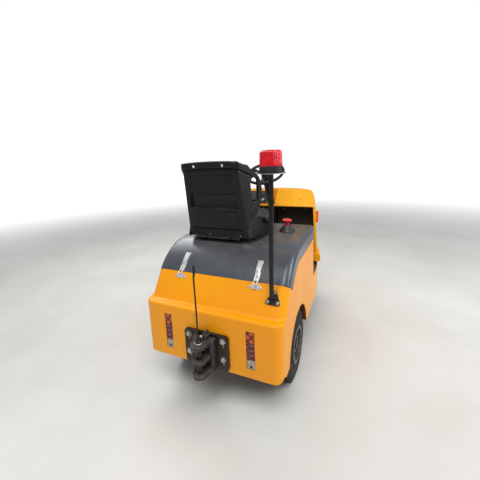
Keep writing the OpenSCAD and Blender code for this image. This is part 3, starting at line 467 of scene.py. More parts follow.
def hood_outline(gap):
    """Side outline of all that the hood and its seam take out of the body."""
    centre = (HOOD_Y, HOOD_Z - HOOD_R)
    low_end = 90 + math.degrees(HOOD_TURN)
    side = arc(centre, HOOD_R - HOOD_SIDE - gap, 90, low_end, 24)
    outside = arc(centre, HOOD_R + 90, low_end, low_end, 1)[0]
    above = [(outside[0], OPEN_TOP), (1100, OPEN_TOP)]
    return side + [outside] + above + [(1100, HOOD_Z - HOOD_SIDE - gap)]


def corner_block(x, y, side):
    """Outline of what is cut off below a round lower corner, at side -1 or 1."""
    centre = (x - side * LOW_CORNER, y + LOW_CORNER)
    start, end = (0, -90) if side > 0 else (180, 270)
    below = [(centre[0], y - 20), (x + side * 20, y - 20), (x + side * 20, centre[1])]
    return arc(centre, LOW_CORNER, start, end, 10) + below


def lamp_hole(x, grow=0.0):
    """Outline of a lamp's slot with round corners, made larger by grow on every side."""
    w = LAMP_HALF + grow
    low = LAMP_LOW - grow
    high = LAMP_HIGH + grow
    r = 5
    return (arc((x + w - r, low + r), r, -90, 0, 4) + arc((x + w - r, high - r), r, 0, 90, 4)
            + arc((x - w + r, high - r), r, 90, 180, 4) + arc((x - w + r, low + r), r, 180, 270, 4))


footwell = [(PEDESTAL_Y, SILL_Z), (NOSE_TOP_Y, SILL_Z), (NOSE_TOP_Y, RIM_Z), (1800, RIM_Z),
            (1800, OPEN_TOP), (PEDESTAL_Y, OPEN_TOP)]
side_corner = [(CORNER, 290), (CORNER, 230), (95, 230)] + arc((95, 290), 40, -90, -180, 10)[:-1]
cutters = [
    prism(arc((ARCH_Y, ARCH_Z), ARCH_R, 0, 356.25, 95), -BESIDE, BESIDE, "x"),
    prism(hood_outline(SEAM), -BESIDE, BESIDE, "x"),
    prism(footwell, -BESIDE, BESIDE, "x"),
    prism(lamp_hole(-LAMP_X), -20, 20, "y"),
    prism(lamp_hole(LAMP_X), -20, 20, "y"),
    prism(corner_block(BODY_HALF, SKIRT_Z, 1), -20, CORNER, "y"),
    prism(corner_block(-BODY_HALF, SKIRT_Z, -1), -20, CORNER, "y"),
    prism(side_corner, -BESIDE, BESIDE, "x"),
]
shell = carved(opened(baked(skin)), *cutters)
orange = finish("orange_paint", srgb(252, 164, 3), srgb(247, 157, 2), tone=1.6, rough=(0.34, 0.42),
                grain=(0.012, 0.00004, 1.0), dust=(0.1, 0.2, 0.4, srgb(206, 150, 80)),
                specular_ior_level=0.25, coat_weight=0.2, coat_roughness=0.1)
add_piece("body_shell", shell, orange, "chassis", "body_paint", "rear_panel", "side_panel_right",
          "side_panel_left", "front_skirt", sharp=28)

# Bolts and screws. Zinc-plated steel, each head on its washer and turned as it was left
# by the spanner. One set of geometry nodes puts a head at every place.


def joined(*parts):
    """One bmesh of several, which it uses up."""
    whole = bmesh.new()
    for part in parts:
        mesh = bpy.data.meshes.new("part")
        part.to_mesh(mesh)
        part.free()
        whole.from_mesh(mesh)
        bpy.data.meshes.remove(mesh)
    return whole


def moved(part, matrix):
    bmesh.ops.transform(part, matrix=matrix, verts=part.verts)
    return part


def facing(place, out, up=(0, 0, 1)):
    """Matrix that puts a piece's z along out and its y near up."""
    z = Vector(out).normalized()
    x = Vector(up).cross(z).normalized()
    return Matrix.Translation(place) @ Matrix((x, z.cross(x), z)).transposed().to_4x4()


def spun(profile, steps=48, flutes=0, depth=0.0):
    """Solid turned about z from radius, height pairs in millimetres, fluted if asked."""
    rings = []
    for radius, height in profile:
        turns = [2 * math.pi * i / steps for i in range(steps)]
        reach = [(radius + depth * math.cos(flutes * t), t) for t in turns]
        rings.append([Vector((r * math.cos(t), r * math.sin(t), height)) / 1000 for r, t in reach])
    return loft(rings)


def block(*levels):
    """Four-sided bar through levels of half width, half length and height in millimetres."""
    return loft([[Vector((x, y, z)) / 1000 for x, y in ((-w, -v), (w, -v), (w, v), (-w, v))]
                 for w, v, z in levels])


def repeat_tree():
    """Geometry nodes that set one piece at every point of a mesh. The points carry their
    way out, their way up and their size, and each piece gets its own small turn."""
    tree = bpy.data.node_groups.new("repeat", "GeometryNodeTree")
    kinds = {"Points": "Geometry", "Piece": "Object", "Material": "Material", "Turn": "Float", "Seed": "Int"}
    for label, kind in kinds.items():
        tree.interface.new_socket(label, in_out="INPUT", socket_type="NodeSocket" + kind)
    tree.interface.new_socket("Pieces", in_out="OUTPUT", socket_type="NodeSocketGeometry")
    made = {}
    steps = {"given": "NodeGroupInput", "out": "NodeGroupOutput", "info": "GeometryNodeObjectInfo",
             "each": "GeometryNodeInstanceOnPoints", "real": "GeometryNodeRealizeInstances",
             "coat": "GeometryNodeSetMaterial", "random": "FunctionNodeRandomValue",
             "spin": "FunctionNodeAxisAngleToRotation", "turned": "FunctionNodeRotateRotation",
             "less": "ShaderNodeMath", "way": "FunctionNodeAlignRotationToVector",
             "up": "FunctionNodeAlignRotationToVector"}
    for label, kind in steps.items():
        made[label] = tree.nodes.new(kind)
    named = {}
    for label in ("way", "up", "size"):
        named[label] = tree.nodes.new("GeometryNodeInputNamedAttribute")
        named[label].data_type = "FLOAT_VECTOR"
        named[label].inputs["Name"].default_value = label
    made["way"].axis = "Z"
    made["up"].axis = "Y"
    made["up"].pivot_axis = "Z"
    made["turned"].rotation_space = "LOCAL"
    made["less"].operation = "MULTIPLY"
    made["less"].inputs[1].default_value = -1.0
    made["spin"].inputs["Axis"].default_value = (0, 0, 1)
    given = made["given"].outputs
    links = (
        (given["Turn"], made["less"].inputs[0]),
        (made["less"].outputs[0], made["random"].inputs[2]),
        (given["Turn"], made["random"].inputs[3]),
        (given["Seed"], made["random"].inputs["Seed"]),
        (made["random"].outputs[1], made["spin"].inputs["Angle"]),
        (named["way"].outputs[0], made["way"].inputs["Vector"]),
        (made["way"].outputs[0], made["up"].inputs["Rotation"]),
        (named["up"].outputs[0], made["up"].inputs["Vector"]),
        (made["up"].outputs[0], made["turned"].inputs["Rotation"]),
        (made["spin"].outputs[0], made["turned"].inputs["Rotate By"]),
        (given["Piece"], made["info"].inputs["Object"]),
        (given["Points"], made["each"].inputs["Points"]),
        (made["info"].outputs["Geometry"], made["each"].inputs["Instance"]),
        (made["turned"].outputs[0], made["each"].inputs["Rotation"]),
        (named["size"].outputs[0], made["each"].inputs["Scale"]),
        (made["each"].outputs[0], made["real"].inputs[0]),
        (made["real"].outputs[0], made["coat"].inputs["Geometry"]),
        (given["Material"], made["coat"].inputs["Material"]),
        (made["coat"].outputs[0], made["out"].inputs[0]),
    )
    for start, end in links:
        tree.links.new(start, end)
    return tree


REPEAT = repeat_tree()


def repeated(piece, spots, material, turn=0.0, seed=7):
    """Mesh of a piece at every spot, each spot being place, way out, way up and size."""
    source = draft(piece)
    points = bpy.data.meshes.new("points")
    points.from_pydata([tuple(spot[0]) for spot in spots], [], [])
    for label, index in (("way", 1), ("up", 2), ("size", 3)):
        points.attributes.new(label, "FLOAT_VECTOR", "POINT")
        values = [number for spot in spots for number in spot[index]]
        points.attributes[label].data.foreach_set("vector", values)
    host = bpy.data.objects.new("points", points)
    COLLECTION.objects.link(host)
    nodes = host.modifiers.new("repeat", "NODES")
    nodes.node_group = REPEAT
    sockets = {item.name: item.identifier for item in REPEAT.interface.items_tree if item.in_out == "INPUT"}
    for label, value in (("Piece", source), ("Material", material), ("Turn", turn), ("Seed", seed)):
        nodes[sockets[label]] = value
    mesh = baked(host)
    bpy.data.objects.remove(source)
    return mesh


def bolt(flat, height, washer, rise=3.0):
    """Hexagon head with its corners taken off, on a washer; z points out of the face."""
    corner = flat / math.sqrt(3)
    r = washer / 2
    top = rise + height
    ring = spun([(r - 0.6, 0), (r, 0.6), (r, rise - 0.6), (r - 0.8, rise)], 28)
    head = spun([(corner * 0.97, rise - 0.2), (corner, rise + 0.8), (corner, rise + height * 0.75),
                 (corner * 0.86, top)], 6)
    stud = spun([(flat * 0.3, top - 1), (flat * 0.3, top + 1.2), (flat * 0.24, top + 2)], 12)
    return joined(ring, head, stud)


def screw(width, height):
    """Round screw head with a socket in it."""
    r = width / 2
    return spun([(r, 0), (r, height * 0.35), (r * 0.84, height * 0.8), (r * 0.62, height),
                 (r * 0.42, height), (r * 0.36, height * 0.45), (0.2, height * 0.4)], 20)


zinc = finish("zinc_bolts", srgb(206, 206, 200), srgb(168, 166, 158), tone=40, rough=(0.24, 0.42),
              scratch=(40, 0.35, srgb(104, 98, 90)), metallic=1.0)
BEHIND = (0, -1, 0)
AHEAD = (0, 1, 0)
UP = (0, 0, 1)
EVEN = (1, 1, 1)
COUPLER_BOLTS = [(x, z) for x in (-109, 109) for z in (450, 340)]
coupler_spots = [(at(x, -16, z), BEHIND, UP, EVEN) for x, z in COUPLER_BOLTS]
add_piece("coupler_bolts", repeated(bolt(24, 10, 34), coupler_spots, zinc, 3.0, 4), None, "chassis",
          "zinc_steel")
SLOPE_OUT = Vector((0, -math.sin(SLOPE), math.cos(SLOPE)))
SLOPE_UP = Vector((0, math.cos(SLOPE), math.sin(SLOPE)))


def on_slope(x, z):
    """Matrix of the sloping panel at a height, with z out of it and y up it."""
    return facing(at(x, 60 + (z - 604) * 90 / 141, z), SLOPE_OUT, SLOPE_UP)


POLE_FOOT_X = 361
POLE_FOOT_T = 6.8
FOOT_HOLES = ((-27, -14), (29, -14), (6, 36))
foot = on_slope(POLE_FOOT_X, 677)
foot_spots = [(foot @ (Vector((x, y, POLE_FOOT_T)) / 1000), SLOPE_OUT, SLOPE_UP, EVEN)
              for x, y in FOOT_HOLES]
add_piece("pole_bolts", repeated(bolt(13, 6, 19, 2), foot_spots, zinc, 3.0, 9), None, "chassis",
          "zinc_steel")

# Coupler. A base plate of black-painted steel with slotted holes, and a rough iron casting
# of three ears on it, its paint worn to brown iron at the edges. The tow pin drops through
# the ears; it has a turned collar and a long thin rod with a flattened grip.


def worn_finish(name, colour, second, edge, **rest):
    """Finish whose edges are rubbed through to another colour."""
    made = finish(name, colour, second, **rest)
    tree = made.node_tree
    main = tree.nodes["Principled BSDF"]
    rim = tree.nodes.new("ShaderNodeAttribute")
    rim.attribute_name = "edge"
    where = tree.nodes.new("ShaderNodeTexCoord").outputs["Object"]
    rubbed = ramp_node(tree, noise_node(tree, where, 45.0, detail=4.0), 0.4, 0.62)
    mask = math_node(tree, "MULTIPLY", rim.outputs["Fac"], rubbed, clamp=True)
    under = main.inputs["Base Color"].links[0].from_socket
    tree.links.new(mix_colour(tree, mask, under, edge), main.inputs["Base Color"])
    return made


def worn(node, material, width, segments=3):
    """Dressed piece whose rounded edges are marked for the worn finish."""
    solid = merged(node)
    mark = solid.faces.layers.float.new("edge")
    for face in round_edges(solid, width, segments):
        face[mark] = 1.0
    return add_piece(node + "_shape", solid, material, body_of(node), slot_of(node), node)


def tube(path, radii, sides=14, flat=1.0):
    """Round bar along points in metres; radii in millimetres, flat squeezes one way."""
    rings = []
    side = None
    for i, spot in enumerate(path):
        ahead = (path[min(i + 1, len(path) - 1)] - path[max(i - 1, 0)]).normalized()
        side = ahead.orthogonal() if side is None else side
        side = (side - ahead * side.dot(ahead)).normalized()
        other = ahead.cross(side)
        r = (radii[i] if isinstance(radii, list) else radii) / 1000
        turns = [2 * math.pi * k / sides for k in range(sides)]
        rings.append([spot + side * r * math.cos(t) + other * r * flat * math.sin(t) for t in turns])
    return loft(rings)


black_paint = worn_finish("black_paint", srgb(18, 17, 17), srgb(26, 25, 24), srgb(118, 110, 100), tone=6,
                          rough=(0.3, 0.42), grain=(0.01, 0.0001, 1.0), dust=(0.15, 0.2, 0.5, ROAD_DUST),
                          specular_ior_level=0.35)
cast_iron = worn_finish("cast_iron", srgb(66, 61, 57), srgb(50, 46, 43), srgb(150, 142, 132), tone=14,
                        rough=(0.5, 0.68), grain=(0.004, 0.0009, 1.4), scratch=(14, 0.35, srgb(112, 98, 88)),
                        dust=(0.8, 0.05, 0.2, srgb(112, 96, 86)), metallic=0.15)
worn("coupler_plate", black_paint, 0.002)
slots = [prism([(x - 4.6, z - 39), (x + 4.6, z - 39), (x + 4.6, z - 18), (x - 4.6, z - 18)], -12, -0.2, "y")
         for x, z in COUPLER_BOLTS]
add_piece("panel_behind_slots", joined(*slots), orange, "chassis", "body_paint")
worn("coupler_casting", cast_iron, 0.0035)
PIN_Y = -90
PIN_PLACE = Matrix.Translation(at(0, PIN_Y, 0))
EAR_TOP = 462.2
ear_outline = [(62, -30), (62, -22), (-62, -22), (-62, -30), (-48, -60)]
ear_outline += arc((0, PIN_Y), 33, 160, 380, 24) + [(48, -60)]
pin_hole = moved(spun([(18.4, 440), (18.4, 480)], 40), PIN_PLACE)
ear_face = carved(prism(ear_outline, 456.5, EAR_TOP, "z"), pin_hole)
round_edges(ear_face, 0.0015, 2)
add_piece("coupler_ear_face", ear_face, cast_iron, "chassis", "coupler_iron")
pin = moved(spun([(16, 256), (17.5, 258), (17.5, 462), (12, 462.5)], 40), PIN_PLACE)
rod_heights = range(470, 843, 12)
rod = tube([at(0, PIN_Y, z) + Vector((0.0012 * math.sin((z - 486) / 90), 0, 0)) for z in rod_heights],
           [9 if z < 490 else 4.4 for z in rod_heights])
grip_line = ((0.5, 836), (2, 844), (3.5, 854), (4, 868), (4, 884), (4.4, 896), (6, 903))
grip = tube([at(x, PIN_Y, z) for x, z in grip_line], [4.4, 5.6, 6.4, 6.6, 6.6, 6.0, 3.4], flat=0.7)
add_piece("tow_pin_rod", joined(pin, rod, grip), black_paint, "tow_pin", "pin_steel", "tow_pin")
collar = spun([(17.9, 461.6), (22, 461.8), (22.6, 463), (22.6, 466), (21.4, 468), (18.8, 468.6)], 40)
add_piece("pin_collar", moved(collar, PIN_PLACE), zinc, "tow_pin", "zinc_steel")
sleeve = spun([(18.2, 467.5), (17.6, 471), (17.4, 474), (15, 478), (11, 480), (9.6, 486), (7.5, 490)], 40)
add_piece("pin_sleeve", moved(sleeve, PIN_PLACE), black_paint, "tow_pin", "pin_steel")
catch_line = ((2, -64, 470), (5, -58, 476), (15, -43, 492), (23, -31, 503), (26, -26, 507))
catch = tube([at(*place) for place in catch_line], [8, 11, 11, 11, 10], sides=16, flat=0.7)
add_piece("pin_catch", catch, cast_iron, "chassis", "coupler_iron")
catch_nut = spun([(8, 0), (8.8, 1), (8.8, 4), (7.6, 7), (4.6, 9.4), (1.4, 10.2)], 24)
catch_nut = moved(catch_nut, facing(at(2, -59, 481), (-0.1, -0.8, 0.6)))
add_piece("catch_nut", catch_nut, zinc, "chassis", "zinc_steel")

# Beacon. A red moulded lens with ribs all round on a ribbed black base, standing on a
# round steel plate. The plate is welded to a bent steel tube with a three-cornered foot,
# painted black and bolted to the slope.
BEACON_X = 370
BEACON_Y = 85
BEACON = at(BEACON_X, BEACON_Y, 0)
BEACON_PLACE = Matrix.Translation(BEACON)
POLE_TOP = 1351
BEND_TOP = 736
pole_lean = (BEACON_X - POLE_FOOT_X) / (POLE_TOP - BEND_TOP)
pole_path = [at(BEACON_X - pole_lean * (POLE_TOP - z), BEACON_Y, z)
             for z in (POLE_TOP, 1250, 1150, 1050, 950, 850, 760, BEND_TOP)]
bend_start = at(POLE_FOOT_X, BEACON_Y, BEND_TOP)
bend_corner = at(POLE_FOOT_X, BEACON_Y, 704)
low_end = at(POLE_FOOT_X, BEACON_Y, 700) - SLOPE_OUT * 29.5 / 1000
for i in range(1, 9):
    t = i / 8
    pole_path.append(bend_start * (1 - t) ** 2 + bend_corner * 2 * t * (1 - t) + low_end * t * t)
foot_outline = []
for (x, y), start in zip(FOOT_HOLES, (120, 270, 10)):
    foot_outline += arc((x, y), 13, start, start + 130, 8)
foot_solid = loft([[foot @ (Vector((x, y, z)) / 1000) for x, y in foot_outline] for z in (0.8, POLE_FOOT_T)])
round_edges(foot_solid, 0.001, 2)
weld = spun([(12, 5.5), (18, 6.6), (17, 8.5), (14.5, 10.6), (12, 12.5)], 32, 11, 0.5)
weld = moved(weld, Matrix.Translation(low_end - foot.translation) @ foot)
plate = spun([(70, 1350), (71, 1350.8), (71, 1353.2), (70, 1354), (20, 1354)], 64)
plate = moved(plate, BEACON_PLACE)
pole = joined(tube(pole_path, 12.5, 20), foot_solid, weld, plate)
add_piece("beacon_pole_tube", pole, black_paint, "chassis", "black_paint", "beacon_pole")
plate_rim = spun([(69.6, 1350.4), (72, 1350.2), (72.4, 1352), (72, 1353.8), (69.6, 1353.7)], 64)
add_piece("beacon_plate_rim", moved(plate_rim, BEACON_PLACE), zinc, "chassis", "zinc_steel")
black_plastic = finish("black_plastic", srgb(24, 24, 24), srgb(32, 32, 31), tone=5, rough=(0.45, 0.58),
                       grain=(0.0012, 0.00012, 0.3), dust=(0.3, 0.2, 0.7, ROAD_DUST))
base = spun([(55, 1354.2), (56, 1355), (56, 1382), (54.5, 1385), (48, 1386.2)], 96)
add_piece("beacon_base_body", moved(base, BEACON_PLACE), black_plastic, "chassis", "black_plastic",
          "beacon_base")
BASE_RIBS = 44
base_rib = block((1.1, 12, -0.5), (1.1, 12, 0.6), (0.6, 11, 1))
ways = [math.tau * i / BASE_RIBS for i in range(BASE_RIBS)]
ways = [Vector((math.cos(turn), math.sin(turn), 0)) for turn in ways]
rib_spots = [(BEACON + way * 0.056 + Vector((0, 0, 1.3685)), way, UP, EVEN) for way in ways]
add_piece("beacon_base_ribs", repeated(base_rib, rib_spots, black_plastic), None, "chassis", "black_plastic")
dome_red = finish("beacon_red", srgb(226, 6, 34), srgb(190, 2, 22), tone=26, rough=(0.14, 0.24),
                  coat_weight=0.4, coat_roughness=0.06, specular_ior_level=0.35)
dome_profile = [(53.5, 1386.6), (54.4, 1387), (53.8, 1421), (52.6, 1422.5), (52.6, 1424.5), (53.4, 1426),
                (52.6, 1448), (51, 1454), (47, 1459), (42, 1461.4), (36, 1462)]
dome = spun(dome_profile, 216, 36, 0.9)
add_piece("beacon_lens", moved(dome, BEACON_PLACE), dome_red, "chassis", "beacon_lens", "beacon_dome",
          sharp=70)

# Tail lamps. Each is one moulded strip behind a slot in the rear panel: red with crossed
# facets at the top, dark red with fine ribs in the middle and clear at the foot.
LENS_WIDTH = 44.4
LENS_Y = 4.5
LENS_BACK = 12


def lens_glint_finish(name, glint_colour, shade_colour, cell, slant):
    """Moulded lens: the colour runs between a painted glint and painted shade in crossing facets, standing
    for the light that its facets catch and miss.
    """
    made = bpy.data.materials.new(name)
    made.use_nodes = True
    tree = made.node_tree
    main = tree.nodes["Principled BSDF"]
    main.inputs["Roughness"].default_value = 0.2
    main.inputs["Specular IOR Level"].default_value = 0.3
    main.inputs["Coat Weight"].default_value = 0.25
    main.inputs["Coat Roughness"].default_value = 0.04
    spot = tree.nodes.new("ShaderNodeSeparateXYZ")
    where = tree.nodes.new("ShaderNodeTexCoord").outputs["Object"]
    tree.links.new(where, spot.inputs[0])
    crossed = None
    for way in (slant, -slant):
        slanted = math_node(tree, "MULTIPLY", spot.outputs["X"], way)
        line = math_node(tree, "ADD", slanted, spot.outputs["Z"])
        swing = math_node(tree, "SINE", math_node(tree, "MULTIPLY", line, math.pi / cell))
        wave = math_node(tree, "ABSOLUTE", swing)
        crossed = wave if crossed is None else math_node(tree, "MULTIPLY", crossed, wave)
    glint_mask = math_node(tree, "ADD", crossed, math_node(tree, "MULTIPLY", noise_node(tree, where, 90.0), 0.5))
    tree.links.new(mix_colour(tree, ramp_node(tree, glint_mask, 0.2, 1.1), shade_colour, glint_colour),
                   main.inputs["Base Color"])
    return made


def lamp_face(x, low, high, relief, step=1.6):
    """Strip of lens at x between two heights, its face pushed out by relief(x, z)."""
    across = [LENS_WIDTH * i / 30 - LENS_WIDTH / 2 for i in range(31)]
    count = int((high - low) / step)
    heights = [low + (high - low) * i / count for i in range(count + 1)]
    front = [[at(x + dx, LENS_Y - relief(dx, z), z) for dx in across] for z in heights]
    lens = loft(front, closed=False, caps=False)
    edge = bmesh.ops.extrude_edge_only(lens, edges=[e for e in lens.edges if e.is_boundary])
    for vert in (v for v in edge["geom"] if isinstance(v, bmesh.types.BMVert)):
        vert.co.y = REAR_Y + LENS_BACK / 1000
    bmesh.ops.holes_fill(lens, edges=[e for e in lens.edges if e.is_boundary])
    bmesh.ops.recalc_face_normals(lens, faces=lens.faces)
    return lens


def facet(size):
    """Relief of crossed facets of one size, as a function of x and z."""
    def height(x, z):
        return 1.1 * abs(math.sin(math.pi * (x + z) / size)) * abs(math.sin(math.pi * (x - z) / size))
    return height


def fine_ribs(x, z):
    """Relief of ribs that run across, whatever x is."""
    return 0.5 * abs(math.sin(z * math.pi / 6))


# Each lens colour runs from a painted glint to painted shade over its crossed facets.
lens_flame = lens_glint_finish("lens_flame", srgb(214, 86, 28), srgb(70, 4, 4), 0.045, 1.0)
lens_maroon = lens_glint_finish("lens_maroon", srgb(142, 62, 72), srgb(58, 5, 22), 0.03, 0.5)
lens_clear = lens_glint_finish("lens_clear", srgb(216, 214, 202), srgb(92, 84, 72), 0.012, 1.0)
lamp_backs = []
for side, x in (("left", -LAMP_X), ("right", LAMP_X)):
    top = lamp_face(x, 463, 531, facet(45))
    middle = lamp_face(x, 360, 462, fine_ribs, 1.0)
    low_part = lamp_face(x, 307, 359, facet(9), 1.0)
    add_piece("tail_lamp_top_" + side, top, lens_flame, "chassis", "lamp_lens")
    add_piece("tail_lamp_middle_" + side, middle, lens_maroon, "chassis", "lamp_lens")
    add_piece("tail_lamp_foot_" + side, low_part, lens_clear, "chassis", "lamp_clear")
    lamp_backs.append(carved(prism(lamp_hole(x, 8), 4, 16, "y"), prism(lamp_hole(x, -2.5), 3, 11, "y")))
lamp_black = finish("lamp_housing", srgb(30, 20, 18), srgb(44, 26, 22), tone=20, rough=(0.3, 0.5),
                    grain=(0.002, 0.0001, 0.3))
add_piece("tail_lamp_housings", joined(*lamp_backs), lamp_black, "chassis", "black_plastic", "tail_lamps")
bulb = spun([(7, 0), (8, 0.6), (7.4, 1.6), (3, 2.2)], 24)
bulbs = [(at(x, 3.6, 322), BEHIND, UP, EVEN) for x in (-LAMP_X, LAMP_X)]
add_piece("tail_lamp_bulbs", repeated(bulb, bulbs, lamp_black), None, "chassis", "black_plastic")

# Hood. One grey moulding over the battery room, its long curve running up from the seam
# with the slope. The top is flat and dulled by hands and boots. It hangs on two steel
# hinges in front.
# The grey is partly the moulding's own and partly made lighter as a painted reflection of bright light on
# the long curve; the blue tint of its reflections is painted sky light.
hood_grey_and_sheen = finish("hood_grey_and_sheen", srgb(70, 75, 83), srgb(60, 65, 72), tone=1.6, rough=(0.2, 0.32),
                   grain=(0.0016, 0.00004, 0.4), dust=(0.7, 0.1, 0.2, srgb(112, 102, 90)),
                   scratch=(9, 0.3, srgb(120, 120, 118)), coat_weight=0.1, coat_roughness=0.3,
                   specular_tint=(0.78, 0.89, 1.0, 1.0), specular_ior_level=0.6)
dressed("hood", hood_grey_and_sheen, 0.0015, 3)
steel = finish("bright_steel", srgb(232, 232, 230), srgb(206, 206, 203), tone=14, rough=(0.22, 0.34),
               scratch=(30, 0.12, srgb(170, 168, 164)), metallic=0.45)
dressed("hood_hinge", steel, 0.001)
dressed("hinge_brackets", steel, 0.001)
hinge_spots = [(at(x + dx, 956.5, 766), AHEAD, UP, EVEN) for x in (-300, 300) for dx in (-12, 12)]
add_piece("hinge_screws", repeated(screw(11, 4), hinge_spots, zinc, 3.0, 3), None, "chassis", "zinc_steel")

# Latches. Stainless levers on the hood, pressed to a channel that widens to the thumb
# end, each with a wire loop over a hook. The hooks stand on fan-shaped plates, each held
# to the slope by two screws.
LATCH_X = 251
LATCH_LENGTH = 128
KEEPER_Z = 724


def on_hood(x, along, out=0.0):
    """Place on the hood's curve, along up it from the seam and out from its face."""
    turn = math.pi / 2 + HOOD_TURN - 0.0087 - along / HOOD_R
    r = HOOD_R + out
    return at(x, HOOD_Y + r * math.cos(turn), HOOD_Z - HOOD_R + r * math.sin(turn))


def channel(x, start, end, wide, height, gauge=1.6):
    """Lever pressed to a channel, wide(t) and height(t) in millimetres for t from 0 to 1."""
    rings = []
    for i in range(29):
        t = i / 28
        w = wide(t) / 2
        h = height(t)
        low = 1.2
        outside = ((-w, low), (-w + 1.4, h), (0, h + 0.6), (w - 1.4, h), (w, low))
        inside = ((w - gauge, low), (w - 1.4 - gauge, h - gauge), (0, h + 0.6 - gauge),
                  (-w + 1.4 + gauge, h - gauge), (-w + gauge, low))
        rings.append([on_hood(x + a, start + (end - start) * t, b) for a, b in outside + inside])
    lever = loft(rings)
    round_edges(lever, 0.0005, 2, 40)
    return lever


def lever_width(t):
    return 24 + 11 * t ** 0.8


def lever_height(t):
    return 7 + 3 * math.sin(math.pi * min(t * 1.1, 1))


levers = []
for x in (-LATCH_X, LATCH_X):
    upper = channel(x, 30, LATCH_LENGTH, lever_width, lever_height)
    hole_at = on_hood(x, 52, 0)
    away = (on_hood(x, 52, 20) - hole_at).normalized()
    hole = moved(spun([(4.2, 2), (4.2, 20)], 20), facing(hole_at, away))
    upper = carved(upper, hole)
    arms = [channel(x + dx, 2, 46, lambda t: 6.4, lambda t: 6.5 + 1.5 * t, 1.4) for dx in (-8.2, 8.2)]
    knuckle_line = [on_hood(x + dx, 27, 6) for dx in (-13.5, -13, -12, 12, 13, 13.5)]
    knuckle = tube(knuckle_line, [2.6, 3.8, 4, 4, 3.8, 2.6], 16)
    foot_shape = ((-14, 4), (14, 4), (16, 60), (-16, 60))
    lever_foot = loft([[on_hood(x + a, b, h) for a, b in foot_shape] for h in (0.8, 2.4)])
    round_edges(lever_foot, 0.0005, 1)
    levers += [upper, *arms, knuckle, lever_foot]
add_piece("latch_levers", joined(*levers), steel, "hood", "latch_steel", "hood_latches")
half_loop = [(-10, 26, 6.5), (-10, 10, 8.5), (-10, -6, 12), (-10, -16, 13.5), (-8, -21, 13.5),
             (-3, -23, 13.5)]
loop_line = half_loop + [(-a, b, c) for a, b, c in half_loop[::-1]]
loops = []
for x in (-LATCH_X, LATCH_X):
    loops.append(tube([on_hood(x + a, b, c + 1.5) for a, b, c in loop_line], 2.6, 12))
add_piece("latch_loops", joined(*loops), steel, "hood", "latch_steel")
rivets = [(on_hood(x, along, 10.4), on_hood(x, along, 30) - on_hood(x, along, 10), SLOPE_UP, EVEN)
          for x in (-LATCH_X, LATCH_X) for along in (92, 112)]
add_piece("latch_rivets", repeated(screw(7, 2), rivets, steel, 3.0, 5), None, "hood", "latch_steel")
keepers = []
for x in (-LATCH_X, LATCH_X):
    keeper_place = on_slope(x, KEEPER_Z)
    fan = arc((31, -5), 9, -90, 50, 8) + [(15, 14), (-15, 14)] + arc((-31, -5), 9, 130, 270, 8)
    fan_plate = loft([[keeper_place @ (Vector((a, b, c)) / 1000) for a, b in fan] for c in (0.8, 3.4)])
    round_edges(fan_plate, 0.0007, 2)
    hook_line = [(13, 3), (6, 5), (-3, 6), (-9, 9), (-11, 13), (-8, 15.5)]
    hook_path = [keeper_place @ (Vector((0, b, c)) / 1000) for b, c in hook_line]
    hook = tube(hook_path, [7.6, 7.6, 7.2, 6.8, 6.2, 4.6], 14, flat=0.3)
    keepers += [fan_plate, hook]
add_piece("latch_keeper_plates", joined(*keepers), steel, "chassis", "latch_steel", "latch_keepers")
keeper_spots = [(on_slope(x, KEEPER_Z) @ Vector((dx / 1000, -0.005, 0.0034)), SLOPE_OUT, SLOPE_UP, EVEN)
                for x in (-LATCH_X, LATCH_X) for dx in (-29, 29)]
add_piece("keeper_screws", repeated(screw(12, 4), keeper_spots, zinc, 3.0, 2), None, "chassis", "zinc_steel")

# Stop switch. A red mushroom button on a turned stem, in a dark moulded cone with a grey
# collar, screwed to the top of the hood.
SWITCH = at(280, 742, HOOD_Z)
SWITCH_PLACE = Matrix.Translation(SWITCH)
switch_base = spun([(56, 0.2), (58, 1.4), (57.6, 4), (54, 8), (44, 20), (36.5, 35), (34, 38), (31, 39),
                    (28, 38), (26, 32), (20, 31)], 64)
add_piece("stop_switch_base", moved(switch_base, SWITCH_PLACE), black_plastic, "hood", "black_plastic",
          "stop_base")
collar_grey = finish("collar_grey", srgb(78, 82, 86), srgb(60, 64, 68), tone=20, rough=(0.25, 0.4),
                     scratch=(30, 0.4, srgb(70, 70, 70)), metallic=0.7)
switch_collar = spun([(37.6, 33), (39, 34.5), (38.6, 37), (36, 41), (32, 43), (27.5, 43), (26.4, 41),
                      (26.4, 36)], 64)
add_piece("stop_switch_collar", moved(switch_collar, SWITCH_PLACE), collar_grey, "hood", "zinc_steel")
stop_red = finish("stop_red", srgb(222, 26, 52), srgb(196, 14, 38), tone=24, rough=(0.25, 0.36),
                  coat_weight=0.5, coat_roughness=0.15)
button = spun([(15, 32), (15, 46), (14, 47), (14, 62), (17, 66), (24, 70), (33, 74), (34.4, 77),
               (34.4, 82), (33, 86), (28, 89), (18, 90.6), (6, 91)], 56)
add_piece("stop_switch_button", moved(button, SWITCH_PLACE), stop_red, "hood", "stop_red", "stop_button")
base_spots = []
for i in range(3):
    turn = 0.8 + i * math.tau / 3
    c, s = math.cos(turn), math.sin(turn)
    base_spots.append((SWITCH + Vector((0.050 * c, 0.050 * s, 0.0118)), (c, s, 1.6), UP, EVEN))
add_piece("stop_switch_screws", repeated(screw(6, 2.4), base_spots, zinc, 3.0, 6), None, "hood",
          "zinc_steel")

# Seat back. One thick black moulding, flat behind, with a wing and a hand slot each side.
# A smooth collar with two bright screws runs along its top. Below it are a sunk panel, a
# pocket for papers with a rolled lip, and a low panel.
SEAT_X = -86
BACK_HEIGHT = 492
WING_X = 275
WING = 160
SHELL_T = 20
BACK = Matrix.Translation(at(SEAT_X, 352, 930)) @ Matrix.Rotation(math.radians(10.5), 4, "X")
BACKWARD = BACK.to_3x3() @ Vector((0, -1, 0))
UPWARD = BACK.to_3x3() @ Vector((0, 0, 1))
